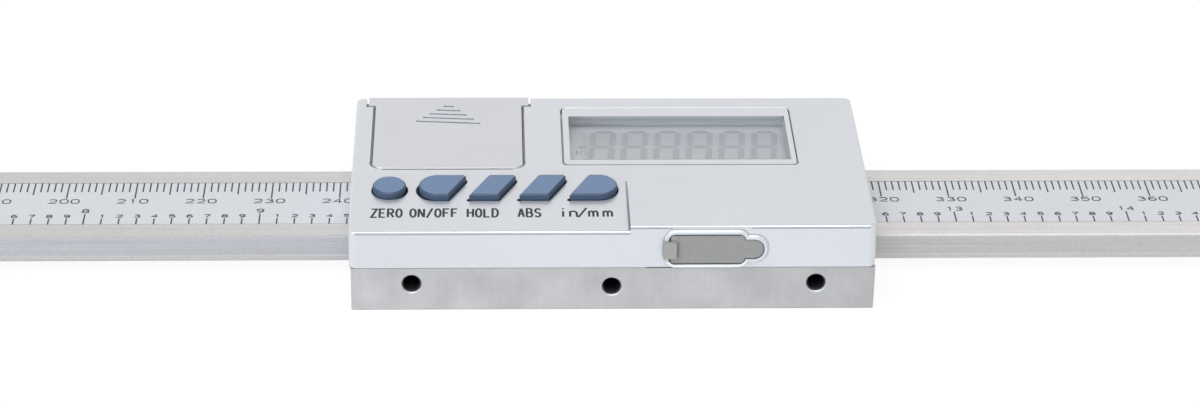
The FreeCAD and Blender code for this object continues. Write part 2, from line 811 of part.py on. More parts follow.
def make_key(kind):
    body = new_body(f"{kind}_key")
    crest = f"({cover_top} + key_stand + {overshoot})"
    add_cap(body, kind, "0", flange_top, crest)
    slope = [
        (f"{row_front} - {overshoot}", f"{panel_level(f'({row_front} - {overshoot})')} + key_stand"),
        (f"{row_back} + {overshoot}", f"{panel_level(f'({row_back} + {overshoot})')} + key_stand"),
        (f"{row_back} + {overshoot}", f"{crest} + {overshoot}"),
        (f"{row_front} - {overshoot}", f"{crest} + {overshoot}"),
    ]
    start = f"({key_left[kind]} - key_slant)"
    sketch = polygon(body, "slope_profile", "YZ_Plane", slope, start)
    pocket(body, "slope", sketch, f"{key_length[kind]} + key_slant * 2", flip=True)
    dress(body, "Chamfer", "top_edge", rim_of(Vector(0, 0, 1)), "key_edge")
    half = f"({key_length[kind]} / 2 + flange_lip)"
    flange = box_corners(f"{key_centre(kind)} - {half}", f"{key_centre(kind)} + {half}",
                         f"{row_front} - flange_lip", f"{row_back} + flange_lip")
    pad(body, "flange", polygon(body, "flange_outline", "XY_Plane", flange, flange_top),
        "flange_thickness", flip=True)
    stem = box_corners(f"{key_centre(kind)} - stem_width / 2", f"{key_centre(kind)} + stem_width / 2",
                       "key_row - stem_width / 2", "key_row + stem_width / 2")
    pad(body, "stem", polygon(body, "stem_outline", "XY_Plane", stem, stem_low),
        f"{flange_top} - flange_thickness - {stem_low}")
    return body


def make_key_hole(kind):
    body = new_body(f"{kind}_key_hole")
    add_cap(body, kind, "key_clearance", f"({ceiling} - {overshoot})", f"({cover_top} + {overshoot})")
    return body


# Data port: a rounded opening with a narrower nose at its right end.
def make_port_shape(name, grow, front, back):
    body = new_body(name)
    half, nose_half = f"(port_height / 2 + {grow})", f"(port_nose_height / 2 + {grow})"
    main = box_corners(f"port_start - {grow}", f"{port_end} + {grow}",
                       f"{port_level} - {half}", f"{port_level} + {half}")
    pad(body, "main", polygon(body, "main_outline", "XZ_Plane", main, f"-{back}"), f"{back} - {front}")
    dress(body, "Fillet", "main_corners", along_depth, f"port_corner + {grow}")
    tip = f"({port_end} + port_nose_length + {grow})"
    nose = box_corners(f"{port_end} - port_nose_length", tip,
                       f"{port_level} - {nose_half}", f"{port_level} + {nose_half}")
    pad(body, "nose", polygon(body, "nose_outline", "XZ_Plane", nose, f"-{back}"), f"{back} - {front}")

    def at_tip(shape, edge):
        return along_depth(shape, edge) and edge.CenterOfMass.x > shape.BoundBox.XMax - near
    dress(body, "Fillet", "nose_corners", at_tip, f"{nose_half} * {nose_round_share}")
    return body


def make_plug():
    body = make_port_shape("port_plug", "0", "(plug_sink - collar_height)", "cover_wall")
    low, high = "port_start - tab_overhang", "port_start - tab_overhang + tab_length"
    tab = box_corners(low, high, f"{port_level} - tab_height / 2", f"{port_level} + tab_height / 2")
    pad(body, "tab", polygon(body, "tab_outline", "XZ_Plane", tab, "collar_height"), "tab_stand")
    neck = box_corners("port_start + port_clearance", high, f"{port_level} - tab_height / 2",
                       f"{port_level} + tab_height / 2")
    pad(body, "neck", polygon(body, "neck_outline", "XZ_Plane", neck, "collar_height"), "plug_sink",
        flip=True)
    return body


def recess_corners(shrink):
    return box_corners(f"{recess_left} + {shrink}", f"{recess_right} - {shrink}",
                       f"{recess_front} + {shrink}", f"{recess_back} - {shrink}")


# Cover: a moulded shell with a sloping key panel, display recess, lid seat and port collar.
def make_cover():
    body = new_body("cover_shell")
    tall = [("0", base_top), (slider_depth, base_top), (slider_depth, cover_top), ("0", cover_top)]
    pad(body, "display_half", polygon(body, "display_profile", "YZ_Plane", tall, panel_end),
        f"{slider_length} - {panel_end}")
    sloped = tall[:3] + [("panel_depth", cover_top), ("0", f"{cover_top} - panel_drop")]
    pad(body, "key_half", polygon(body, "key_profile", "YZ_Plane", sloped), panel_end)

    def outer_corner(shape, edge):
        box, centre = shape.BoundBox, edge.CenterOfMass
        at_end = min(abs(centre.x - box.XMin), abs(centre.x - box.XMax)) < near
        at_face = min(abs(centre.y - box.YMin), abs(centre.y - box.YMax)) < near
        return upright(shape, edge) and at_end and at_face
    dress(body, "Fillet", "upright_corners", outer_corner, "cover_corner")

    def top_rim(shape, edge):
        faces = shape.ancestorsOfType(edge, Part.Face)
        inner = [face for face in faces if face.CenterOfMass.x > shape.BoundBox.XMin + near]
        on_step = any(face_normal(face).x < -0.9 for face in inner)
        return rim_of(Vector(0, 0, 1))(shape, edge) and not on_step
    dress(body, "Fillet", "top_edges", top_rim, "cover_edge")
    recess = polygon(body, "cover_recess_outline", "XY_Plane", recess_corners("0"), cover_top)
    pocket(body, "cover_recess", recess, f"{cover_top} - {window_bottom}")
    outline = recess.Shape.BoundBox

    def in_outline(edge):
        centre = edge.CenterOfMass
        in_length = outline.XMin - near < centre.x < outline.XMax + near
        return in_length and outline.YMin - near < centre.y < outline.YMax + near

    def recess_corner(shape, edge):
        return upright(shape, edge) and in_outline(edge)

    def recess_rim(shape, edge):
        at_top = edge.CenterOfMass.z > outline.ZMin - near
        return rim_of(Vector(0, 0, 1))(shape, edge) and at_top and in_outline(edge)
    dress(body, "Fillet", "recess_corners", recess_corner, "recess_corner")
    dress(body, "Chamfer", "recess_bevel", recess_rim, "recess_rim")
    inside = box_corners("cover_wall", f"{slider_length} - cover_wall",
                         "cover_wall", f"{slider_depth} - cover_wall")
    pocket(body, "hollow", polygon(body, "hollow_outline", "XY_Plane", inside, base_top),
           f"{ceiling} - {base_top}", flip=True)
    for i, (x, y) in enumerate(screw_places):
        boss = polygon(body, f"boss_outline_{i}", "XY_Plane", octagon_corners(x, y, "boss_width"), base_top)
        pad(body, f"boss_{i}", boss, f"{ceiling} - {base_top}")
    inner = "(cell_diameter / 2 + cell_clearance)"
    bay = [(cell_x, cell_y, f"{inner} + bay_wall"), (cell_x, cell_y, inner)]
    bay_low = f"({board_top} + bay_rise)"
    pad(body, "bay_ring", circles(body, "bay_rings", "XY_Plane", bay, bay_low), f"{ceiling} - {bay_low}")
    threads = [(x, y, "cover_screw_diameter / 2 + thread_clearance") for x, y in screw_places]
    pocket(body, "boss_holes", circles(body, "boss_hole_rings", "XY_Plane", threads, base_top),
           "cover_screw_reach + thread_clearance", flip=True)
    collar = make_port_shape("port_collar", "(port_clearance + collar_width)",
                             "(-collar_height)", "(cover_wall / 2)")
    dress(collar, "Chamfer", "collar_rim", rim_of(Vector(0, -1, 0)), "collar_edge")
    whole = fuse("cover_with_collar", [body, collar])
    return cut("top_cover", whole, fuse("cover_cuts", make_cover_cuts()))


def make_cover_cuts():
    above = f"({cover_top} + {overshoot})"
    below = f"({ceiling} - {overshoot})"
    view = prism("opening_cut", box_corners(*opening), below, above)
    lid_floor = f"({lid_bottom} - lid_floor_gap)"
    lid_seat = prism("lid_seat_cut", lid_corners("lid_gap", "ear_gap", f"({slider_depth} + {overshoot})"),
                     lid_floor, above)
    dress(lid_seat, "Fillet", "seat_corners", lid_front_corner, "lid_corner + lid_gap")
    reach = "(tongue_width + tongue_gap)"
    groove_sides = box_corners(f"{lid_left} - {reach}", f"{lid_right} + {reach}",
                               "key_zone_depth + lid_corner - lid_gap", f"{slider_depth} - ear_length")
    grooves = prism("groove_cut", groove_sides, lid_floor, f"({lid_bottom} + tongue_height + tongue_gap)")
    cell_hole = rod("cell_cut", (cell_x, cell_y, below), "cell_diameter / 2 + cell_clearance",
                    f"{above} - {below}")
    clip_half = "(clip_width / 2 + cell_clearance)"
    clip_sides = box_corners(f"{cell_x} - {clip_half}", f"{cell_x} + {clip_half}",
                             f"{cell_y} - cell_diameter / 2 - clip_width / 2", cell_y)
    clip_slot = prism("clip_slot_cut", clip_sides, f"({board_top} - {overshoot})", ceiling)
    port = make_port_shape("port_cut", "port_clearance", f"(-{overshoot})", f"(cover_wall + {overshoot})")
    pry_sides = box_corners("pry_notch_start", "pry_notch_start + pry_notch_width",
                            f"-{overshoot}", "cover_wall")
    pry = prism("pry_cut", pry_sides, f"({base_top} - {overshoot})", f"({base_top} + pry_notch_height)")
    holes = [make_key_hole(kind) for kind in key_kinds]
    return [view, lid_seat, grooves, cell_hole, clip_slot, port, pry] + holes


stop_y = "((beam_width / 2 + strip_width / 2) / 2)"
stop_places = [(sign + "(beam_length / 2 - stop_inset)", stop_y) for sign in ("-", "")]
gib_level = f"(({beam_bottom} + {beam_top}) / 2)"
gib_screw_places = [f"({slider_length} / 2 {sign} gib_screw_spacing / 2)" for sign in ("-", "+")]

electrode_low = f"({beam_top} - strip_recess)"
electrode_high = f"({electrode_low} + electrode_thickness)"
gib = block("gib_strip", ("gib_end_gap", gib_front, beam_bottom),
            (f"{slider_length} - gib_end_gap", channel_back, beam_top))
gib_screws = [
    rod(f"gib_screw_{i}", (x, channel_back, gib_level), "gib_screw_diameter / 2",
        f"{slider_depth} - gib_screw_sink - {channel_back}", to_back=True)
    for i, x in enumerate(gib_screw_places)
]
chip_x = f"(({opening[0]} + {opening[1]}) / 2 - chip_side / 2)"
chip_y = f"(({row_back} + {recess_front}) / 2 - chip_side / 2)"
zebra_left, zebra_right = f"{glass_left} + glass_gap", f"{glass_right} - glass_gap"
zebra_starts = [f"({glass_front} + glass_gap)", f"({glass_back} - glass_gap - zebra_width)"]
zebras = [
    block(f"zebra_{i}", (zebra_left, start, board_top), (zebra_right, f"{start} + zebra_width", glass_bottom))
    for i, start in enumerate(zebra_starts)
]
first_contact = f"(port_start + port_length / 2 - {contact_count - 1} * contact_pitch / 2)"
contacts = [
    data_contact(f"data_contact_{i}", f"({first_contact} + {i} * contact_pitch)")
    for i in range(contact_count)
]
stops = [stop_screw(f"stop_screw_{i}", x, y) for i, (x, y) in enumerate(stop_places)]
board_holders = [board_screw(f"board_screw_{i}", x, y) for i, (x, y) in enumerate(board_screw_places)]
cover_holders = [headed_screw(f"cover_screw_{i}", x, y) for i, (x, y) in enumerate(screw_places)]

nodes = [
    make_beam(),
    strip_layer("electrode_strip", electrode_low, electrode_high),
    strip_layer("graduation_plate", electrode_high, f"({electrode_high} + graduation_thickness)"),
    group("stop_screws", stops),
    make_base(),
    gib,
    group("gib_screws", gib_screws),
    make_board(),
    group("board_screws", board_holders),
    block("controller_chip", (chip_x, chip_y, board_top),
          (f"{chip_x} + chip_side", f"{chip_y} + chip_side", f"{board_top} + chip_height")),
    group("data_contacts", contacts),
    group("zebra_strips", zebras),
    block("lcd_glass", (glass_left, glass_front, glass_bottom), (glass_right, glass_back, glass_top)),
    make_frame(),
    rounded_prism("display_window", recess_corners("window_gap"), window_bottom, window_top,
                  "recess_corner - window_gap"),
    make_cell_spring(),
    make_cell_clip(),
    make_cell(),
    make_cover(),
    group("cover_screws", cover_holders),
    make_lid(),
    make_plug(),
]
nodes += [make_key(kind) for kind in key_kinds]
nodes += [snap_dome(kind) for kind in key_kinds]
doc.recompute()

for item in doc.Objects:
    if "Invalid" in item.State or "Error" in item.State:
        raise RuntimeError(f"{item.Label} did not build")
for node in nodes:
    if node.Shape.isNull() or not node.Shape.isValid():
        raise RuntimeError(f"{node.Label} has no valid shape")

os.makedirs("parts", exist_ok=True)
for node in nodes:
    node.Shape.exportStep(f"parts/{node.Label}.step")
    box = node.Shape.BoundBox
    print(f"{node.Label:18s} {len(node.Shape.Solids)} solids  "
          f"{box.XLength:7.2f} x {box.YLength:6.2f} x {box.ZLength:6.2f} mm  {node.Shape.Volume:9.2f} mm3")
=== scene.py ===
# Looks of a digital linear scale: printed marks, words, screw and display detail, finishes, light and camera.
import json
import math

import bmesh
import bpy
import numpy as np
from mathutils import Matrix, Vector


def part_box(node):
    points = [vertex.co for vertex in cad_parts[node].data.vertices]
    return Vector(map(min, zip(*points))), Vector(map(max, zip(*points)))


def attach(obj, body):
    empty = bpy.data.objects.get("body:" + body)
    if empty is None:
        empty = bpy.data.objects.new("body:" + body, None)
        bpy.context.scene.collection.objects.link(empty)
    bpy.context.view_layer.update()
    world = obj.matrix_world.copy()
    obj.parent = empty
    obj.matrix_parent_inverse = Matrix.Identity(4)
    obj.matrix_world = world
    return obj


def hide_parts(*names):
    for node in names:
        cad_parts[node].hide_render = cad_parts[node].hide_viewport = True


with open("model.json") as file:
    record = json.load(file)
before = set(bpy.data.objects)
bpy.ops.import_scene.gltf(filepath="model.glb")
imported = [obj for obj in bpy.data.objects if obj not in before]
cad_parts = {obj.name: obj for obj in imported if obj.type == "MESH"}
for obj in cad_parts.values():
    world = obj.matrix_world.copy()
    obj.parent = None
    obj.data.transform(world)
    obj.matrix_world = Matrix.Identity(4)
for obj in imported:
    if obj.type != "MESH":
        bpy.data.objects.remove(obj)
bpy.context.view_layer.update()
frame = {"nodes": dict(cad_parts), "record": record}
nodes = frame["nodes"]
mm = 0.001
tiny = 1e-6  # lengths under this, in millimetres, count as none
weld = 1e-4  # points of a piece that lie nearer than this become one
usualNoise = (0.3, 0.7)  # nearly all of a noise's values lie between these
allAlong = (-400, 400)  # a reach in millimetres that holds all of the part
keyKinds = ["zero", "power", "hold", "absolute", "unit"]
print("frame loaded:", len(nodes), "nodes")


def nodeBox(name):
    # lowest and highest corner of a CAD node, in millimetres
    low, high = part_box(name)
    return np.array(low) / mm, np.array(high) / mm


def block(x, y, z):
    # lowest and highest corner of a block, from its reach along each axis
    return tuple(zip(x, y, z))


def linear(hexCode):
    # sRGB hex to linear light with full alpha
    levels = np.array([int(hexCode[i:i + 2], 16) for i in (1, 3, 5)]) / 255
    light = np.where(levels <= 0.04045, levels / 12.92, ((levels + 0.055) / 1.055) ** 2.4)
    return (*light.tolist(), 1.0)


def addNode(tree, kind, inputs=(), out=0, **settings):
    # adds a node, sets its options, fills or links its inputs, in order or by name, and gives back an output;
    # a kind may name its operation after a space
    kind, *operation = kind.split()
    node = tree.nodes.new("ShaderNode" + kind)
    if operation:
        node.operation = operation[0]
    for name, value in settings.items():
        setattr(node, name, value)
    for key, value in inputs.items() if isinstance(inputs, dict) else enumerate(inputs):
        if isinstance(value, bpy.types.NodeSocket):
            tree.links.new(value, node.inputs[key])
        else:
            node.inputs[key].default_value = value
    return node.outputs[out] if node.outputs else None


def startMaterial(name):
    # a material that holds no nodes yet, and its tree
    material = bpy.data.materials.new(name)
    material.use_nodes = True
    material.node_tree.nodes.clear()
    return material, material.node_tree


def closeMaterial(material, colour, rough, etched=None, strength=0.1, depth=0.01, edge=0, **others):
    # the surface itself: a pattern may be etched into it, and its edges may look rounded, both in millimetres
    tree = material.node_tree
    if etched is not None:
        relief = {"Strength": strength, "Distance": depth * mm, "Height": etched}
        if edge:
            relief["Normal"] = addNode(tree, "Bevel", {"Radius": edge * mm}, samples=6)
        others["Normal"] = addNode(tree, "Bump", relief)
    surface = addNode(tree, "BsdfPrincipled", {"Base Color": colour, "Roughness": rough, **others})
    addNode(tree, "OutputMaterial", [surface])
    return material


def grain(tree, size, detail=3.0, **others):
    # noise whose grains have a size in millimetres, one for all axes or one for each
    place = addNode(tree, "TexCoord", out="Object")
    spot = addNode(tree, "Mapping", {"Vector": place, "Scale": 1 / (np.broadcast_to(size, 3) * mm)})
    return addNode(tree, "TexNoise", {"Vector": spot, "Scale": 1.0, "Detail": detail, **others})


def tinted(tree, colour, mask, other):
    # a colour that gives way to another where the mask is 1; each is a hex value or a socket
    first, second = (c if isinstance(c, bpy.types.NodeSocket) else linear(c) for c in (colour, other))
    return addNode(tree, "Mix", {0: mask, 6: first, 7: second}, 2, data_type="RGBA")


def shaded(tree, colour, share):
    # a colour made darker or paler by a share of its light
    return addNode(tree, "Mix", {0: 1.0, 6: colour, 7: share}, 2, data_type="RGBA", blend_type="MULTIPLY")


def speckled(tree, colour, noise, depth):
    # a colour that grows darker and paler by a depth, as a noise goes through its usual values
    return shaded(tree, colour, addNode(tree, "MapRange", [noise, *usualNoise, 1 - depth, 1 + depth]))


def position(tree):
    # where a point lies on its piece, along the three axes
    return addNode(tree, "SeparateXYZ", [addNode(tree, "TexCoord", out="Object")]).node.outputs


def facing(tree):
    # where a face looks, as parts along the three axes
    return addNode(tree, "SeparateXYZ", [addNode(tree, "NewGeometry", out="True Normal")]).node.outputs


def insideBox(tree, box):
    # 1 inside a block given in millimetres: the largest of the centred and scaled coordinates is under 1
    low, high = np.array(box) * mm
    middle, half = (low + high) / 2, (high - low) / 2
    place = addNode(tree, "TexCoord", out="Object")
    unit = addNode(tree, "Mapping", {"Vector": place, "Location": -middle / half, "Scale": 1 / half})
    x, y, z = addNode(tree, "SeparateXYZ", [addNode(tree, "VectorMath ABSOLUTE", [unit])]).node.outputs
    flat = addNode(tree, "Math MAXIMUM", [x, y])
    most = addNode(tree, "Math MAXIMUM", [flat, z])
    return addNode(tree, "Math LESS_THAN", [most, 1.0])


def nearPoint(tree, middle, reach, plane):
    # 1 where the distance from a point, measured in the plane given by its axes' weights, is under the reach
    place = addNode(tree, "TexCoord", out="Object")
    moved = addNode(tree, "VectorMath SUBTRACT", [place, np.array(middle) * mm])
    flat = addNode(tree, "VectorMath MULTIPLY", [moved, plane])
    apart = addNode(tree, "VectorMath LENGTH", [flat], "Value")
    return addNode(tree, "Math LESS_THAN", [apart, reach * mm])


def paintGapShade(tree, colour, reach, darkest, plainFrom=0.85):
    # painted shade: narrow gaps and inner corners are darkened by how little of the room they see; faces as
    # open as plainFrom keep their colour
    opened = addNode(tree, "AmbientOcclusion", {"Distance": reach * mm}, "AO", samples=8)
    share = addNode(tree, "MapRange", [opened, 0, plainFrom, darkest, 1])
    return shaded(tree, colour, share)


def gridQuads(rows, columns, closedRows, closedColumns):
    # quads between neighbouring points of a grid, closed round where asked
    row = np.arange(rows if closedRows else rows - 1)[:, None]
    column = np.arange(columns if closedColumns else columns - 1)[None, :]
    nextRow, nextColumn = (row + 1) % rows, (column + 1) % columns
    corners = [row * columns + column, row * columns + nextColumn,
               nextRow * columns + nextColumn, nextRow * columns + column]
    return np.stack(np.broadcast_arrays(*corners), -1).reshape(-1, 4)


def addPiece(name, parts, body, material):
    # joins point grids in millimetres and their quads into one closed mesh that rides on a body
    starts = np.cumsum([0] + [len(points) for points, _ in parts])
    allPoints = np.concatenate([points for points, _ in parts]) * mm
    allQuads = np.concatenate([quads + start for (_, quads), start in zip(parts, starts)])
    mesh = bpy.data.meshes.new(name)
    mesh.from_pydata(allPoints.tolist(), [], allQuads.tolist())
    shape = bmesh.new()
    shape.from_mesh(mesh)
    bmesh.ops.remove_doubles(shape, verts=shape.verts, dist=weld * mm)
    bmesh.ops.recalc_face_normals(shape, faces=shape.faces)
    shape.to_mesh(mesh)
    shape.free()
    mesh.materials.append(material)
    piece = bpy.data.objects.new(name, mesh)
    bpy.context.scene.collection.objects.link(piece)
    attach(piece, body)
    print("piece:", name, len(mesh.polygons), "faces")
    return piece


# Strokes for plain lettering, drawn in a unit cell.
def arc(centre, radii, start, end, steps):
    # points of an ellipse from one angle to another, in degrees
    turn = np.radians(np.linspace(start, end, steps))
    return centre + radii * np.stack([np.cos(turn), np.sin(turn)], 1)


def chain(*pieces):
    # single points and runs of points, one after the other
    return np.vstack([np.atleast_2d(piece) for piece in pieces]).astype(float)


boxCorners = ((0.68, 0.62, 0), (0.32, 0.62, 90), (0.32, 0.38, 180), (0.68, 0.38, 270))
roundBox = chain(*(arc((x, y), (0.32, 0.38), start, start + 90, 5) for x, y, start in boxCorners), (1, 0.62))
sixPath = chain(arc((0.62, 0.5), (0.6, 0.5), 65, 180, 7), arc((0.5, 0.3), (0.48, 0.3), 180, -180, 14))
glyphs = {
    "0": [roundBox],
    "1": [chain((0.28, 0.78), (0.55, 1), (0.55, 0))],
    "2": [chain(arc((0.5, 0.7), (0.47, 0.3), 165, -25, 8), (0, 0), (1, 0))],
    "3": [chain(arc((0.48, 0.77), (0.42, 0.23), 150, -90, 8), arc((0.48, 0.27), (0.5, 0.27), 90, -155, 9))],
    "4": [chain((0.74, 0), (0.74, 1), (0, 0.3), (1, 0.3))],
    "5": [chain((0.95, 1), (0.14, 1), (0.06, 0.56), arc((0.47, 0.33), (0.52, 0.33), 125, -150, 10))],
    "6": [sixPath],
    "7": [chain((0, 1), (1, 1), (0.35, 0))],
    "8": [arc((0.5, 0.76), (0.42, 0.24), -90, 270, 13), arc((0.5, 0.26), (0.5, 0.26), 90, 450, 15)],
    "9": [1 - sixPath],
    "A": [chain((0, 0), (0.46, 1)), chain((0.54, 1), (1, 0)), chain((0.2, 0.34), (0.8, 0.34))],
    "B": [chain((0, 0), (0, 1), arc((0.6, 0.76), (0.3, 0.24), 90, -90, 8), (0, 0.52)),
          chain((0, 0), arc((0.62, 0.26), (0.38, 0.26), -90, 90, 8), (0, 0.52))],
    "D": [chain((0, 0), (0, 1), arc((0.4, 0.5), (0.6, 0.5), 90, -90, 12), (0, 0))],
    "E": [chain((1, 1), (0, 1), (0, 0), (1, 0)), chain((0, 0.52), (0.85, 0.52))],
    "F": [chain((1, 1), (0, 1), (0, 0)), chain((0, 0.52), (0.85, 0.52))],
    "H": [chain((0, 0), (0, 1)), chain((1, 0), (1, 1)), chain((0, 0.52), (1, 0.52))],
    "L": [chain((0, 1), (0, 0), (1, 0))],
    "N": [chain((0, 0), (0, 1)), chain((0.06, 1), (0.94, 0)), chain((1, 0), (1, 1))],
    "O": [arc((0.5, 0.5), (0.5, 0.5), 0, 360, 21)],
    "R": [chain((0, 0), (0, 1), arc((0.6, 0.75), (0.36, 0.25), 90, -90, 8), (0, 0.5)),
          chain((0.5, 0.5), (1, 0))],
    "S": [chain(arc((0.5, 0.75), (0.46, 0.25), 20, 270, 10), arc((0.5, 0.25), (0.48, 0.25), 90, -160, 10))],
    "Z": [chain((0, 1), (1, 1), (0, 0), (1, 0))],
    "/": [chain((0, -0.08), (1, 1.08))],
    "i": [chain((0.5, 0), (0.5, 0.68)), chain((0.5, 0.9), (0.5, 1.03))],
    "n": [chain((0, 0), (0, 0.68)), chain((0, 0.4), arc((0.5, 0.42), (0.5, 0.26), 170, 0, 8), (1, 0))],
    "m": [chain((0, 0), (0, 0.68)),
          chain((0, 0.42), arc((0.25, 0.44), (0.25, 0.24), 170, 0, 7), (0.5, 0)),
          chain((0.5, 0.42), arc((0.75, 0.44), (0.25, 0.24), 170, 0, 7), (1, 0))],
}
lettering = {
    "hair": 0.002,  # each further stroke of a sign lies this much higher, so no two faces share a plane
    "bluntest": 0.5,  # a sharp corner's mitre reaches half a width divided by this
}


def ribbon(path, width, low, high):
    # a flat bar carried along a path: each point steps half a width to both sides along the mitred normal
    path = path[np.append(True, np.linalg.norm(np.diff(path, axis=0), axis=1) > tiny)]
    closed = np.linalg.norm(path[0] - path[-1]) < tiny
    path = path[:-1] if closed else path
    before, after = path - np.roll(path, 1, 0), np.roll(path, -1, 0) - path
    if not closed:
        before[0], after[-1] = after[0], before[-1]
    before /= np.linalg.norm(before, axis=1, keepdims=True)
    after /= np.linalg.norm(after, axis=1, keepdims=True)
    ahead = before + after
    ahead /= np.linalg.norm(ahead, axis=1, keepdims=True)
    side = np.stack([-ahead[:, 1], ahead[:, 0]], 1)
    stretch = 1 / np.maximum(lettering["bluntest"], (ahead * before).sum(1))
    offset = side * (width / 2 * stretch)[:, None]
    rails = [(path + offset, low), (path + offset, high), (path - offset, high), (path - offset, low)]
    points = np.stack([np.column_stack([rail, np.full(len(path), level)]) for rail, level in rails], 1)
    quads = gridQuads(len(path), 4, closed, True)
    if not closed:
        quads = np.vstack([quads, np.arange(4), np.arange(4) + 4 * (len(path) - 1)])
    return points.reshape(-1, 3), quads


def words(text, left, bottom, cell, pitch, stroke, low, high):
    # the strokes of a text, one unit cell per sign, scaled to the cell's width and height
    return [
        ribbon(path * cell + (left + column * pitch, bottom), stroke, low, high + order * lettering["hair"])
        for column, sign in enumerate(text)
        for order, path in enumerate(glyphs[sign])
    ]


def bars(low, high):
    # upright blocks between arrays of lowest and highest corners
    corner = np.array([(x, y, z) for z in (0, 1) for x, y in ((0, 0), (1, 0), (1, 1), (0, 1))], float)
    points = low[:, None] + corner[None] * (high - low)[:, None]
    sides = np.array([(3, 2, 1, 0), (4, 5, 6, 7), (0, 1, 5, 4), (1, 2, 6, 5), (2, 3, 7, 6), (3, 0, 4, 7)])
    return points.reshape(-1, 3), (sides[None] + 8 * np.arange(len(low))[:, None, None]).reshape(-1, 4)


# Printed marks: satin ink with slightly uneven cover.
def ink(name, dark, light, blotch, rough=0.55):
    material, tree = startMaterial(name)
    return closeMaterial(material, tinted(tree, dark, grain(tree, blotch), light), rough)


graduations = {
    "zero": -288.0,  # place of both zero marks along the beam
    "range": 500,  # millimetres
    "tenthInch": 2.54,
    "edge": 6.28,  # ticks start at the plate's long edges
    "mmEnds": {1: 3.6, 5: 2.75, 10: 1.6},
    "inchEnds": {1: -4.5, 10: -3.15},
    "tick": 0.215,
    "border": 0.08,
    "mmNumber": {"bottom": 0.15, "cell": (1.12, 1.15), "pitch": 1.62, "shift": -0.25, "laterShift": 0.22},
    "tenthNumber": {"bottom": -4.15, "cell": (0.8, 0.78), "pitch": 0.0, "shift": 0.0, "laterShift": 0.0},
    "inchNumber": {"bottom": -2.75, "cell": (0.98, 1.05), "pitch": 1.35, "shift": 0.0, "laterShift": 0.15},
    "later": 280.0,  # from here on a second printing plate, set a little further right
    "stroke": 0.205,
    "sunk": 0.01,
    "proud": 0.012,
}


def printGraduations(spec):
    # ticks at equal steps from the zero mark, longer at each fifth and tenth, with numbers under the tens
    plateLow, plateHigh = nodeBox("graduation_plate")
    low, high = plateHigh[2] - spec["sunk"], plateHigh[2] + spec["proud"]
    half, edge, inch = spec["tick"] / 2, spec["edge"], spec["tenthInch"]
    reading = np.arange(spec["range"] + 1)
    tenth = np.arange(int(spec["range"] / inch) + 1)
    mmEnd = np.select([reading % 10 == 0, reading % 5 == 0], [spec["mmEnds"][10], spec["mmEnds"][5]],
                      spec["mmEnds"][1])
    inchEnd = np.where(tenth % 10 == 0, spec["inchEnds"][10], spec["inchEnds"][1])
    parts = []
    for spots, near, far in ((reading, mmEnd, np.full(len(reading), edge)),
                             (inch * tenth, np.full(len(tenth), -edge), inchEnd)):
        across, flat = spec["zero"] + spots, np.ones(len(spots))
        parts.append(bars(np.column_stack([across - half, near, low * flat]),
                          np.column_stack([across + half, far, high * flat])))
    parts.append(bars(np.array([[plateLow[0], plateLow[1], low]]),
                      np.array([[plateHigh[0], plateLow[1] + spec["border"], high]])))
    numbers = [("mmNumber", 10.0 * k, str(10 * k)) for k in range(spec["range"] // 10 + 1)]
    numbers += [("tenthNumber", inch * k, str(k % 10)) for k in tenth if k % 10]
    numbers += [("inchNumber", inch * k, str(k // 10)) for k in tenth if k % 10 == 0]
    for kind, spot, text in numbers:
        style = spec[kind]
        shift = style["laterShift"] if spot > spec["later"] else style["shift"]
        left = spec["zero"] + spot + shift - (style["pitch"] * (len(text) - 1) + style["cell"][0]) / 2
        parts += words(text, left, style["bottom"], style["cell"], style["pitch"], spec["stroke"], low, high)
    addPiece("graduationPrint", parts, "beam",
             ink("graduationInk", "#2E3543", "#3F4655", blotch=0.8))


printGraduations(graduations)

sliderLow, sliderHigh = nodeBox("top_cover")
sliderFront = nodeBox("slider_base")[0][1]
sliderMiddle = (sliderLow[0] + sliderHigh[0]) / 2
coverTop = sliderHigh[2]

keyWords = {
    "words": [("ZERO", -34.33), ("ON/OFF", -28.82), ("HOLD", -20.69), ("ABS", -13.48)],
    "unitSigns": [("i", -7.15, 0.3), ("n", -6.0, 0.95), ("/", -4.85, 1.2),
                  ("m", -3.3, 1.2), ("m", -1.25, 1.2)],  # each with its place and width
    "baseline": 3.92,  # from the slider's front
    "cell": (0.76, 2.12),
    "pitch": 1.176,
    "stroke": 0.32,
    "panelDepth": 13.7,
    "panelDrop": 0.87,
    "sunk": 0.01,
    "proud": 0.012,
}


def printKeyWords(spec):
    # words laid on the sloping panel, whose height falls evenly from the crease to the front
    bottom, stroke = sliderFront + spec["baseline"], spec["stroke"]
    levels = (-spec["sunk"], spec["proud"])
    parts = []
    for text, start in spec["words"]:
        left = sliderMiddle + start + stroke / 2
        parts += words(text, left, bottom, spec["cell"], spec["pitch"], stroke, *levels)
    for sign, start, wide in spec["unitSigns"]:
        parts += words(sign, sliderMiddle + start, bottom, (wide, spec["cell"][1]), 0, stroke, *levels)
    for points, _ in parts:
        fall = spec["panelDrop"] * (1 - (points[:, 1] - sliderFront) / spec["panelDepth"])
        points[:, 2] += coverTop - fall
    addPiece("keyWordPrint", parts, "slider",
             ink("keyWordInk", "#232428", "#34353A", blotch=0.7))


printKeyWords(keyWords)

digits = {
    "first": -2.6,  # from the slider's middle
    "pitch": 4.83,
    "width": 3.9,
    "bottom": 24.1,  # from the slider's front
    "height": 10.4,
    "thickness": 0.95,
    "gap": 0.12,
    "slant": 5.0,
    "count": 6,
    "minus": (-4.8, -3.2),
    "unit": {"bottom": 26.4, "cell": (0.75, 1.9), "pitch": 0.95, "stroke": 0.3},
    "proud": 0.008,
}


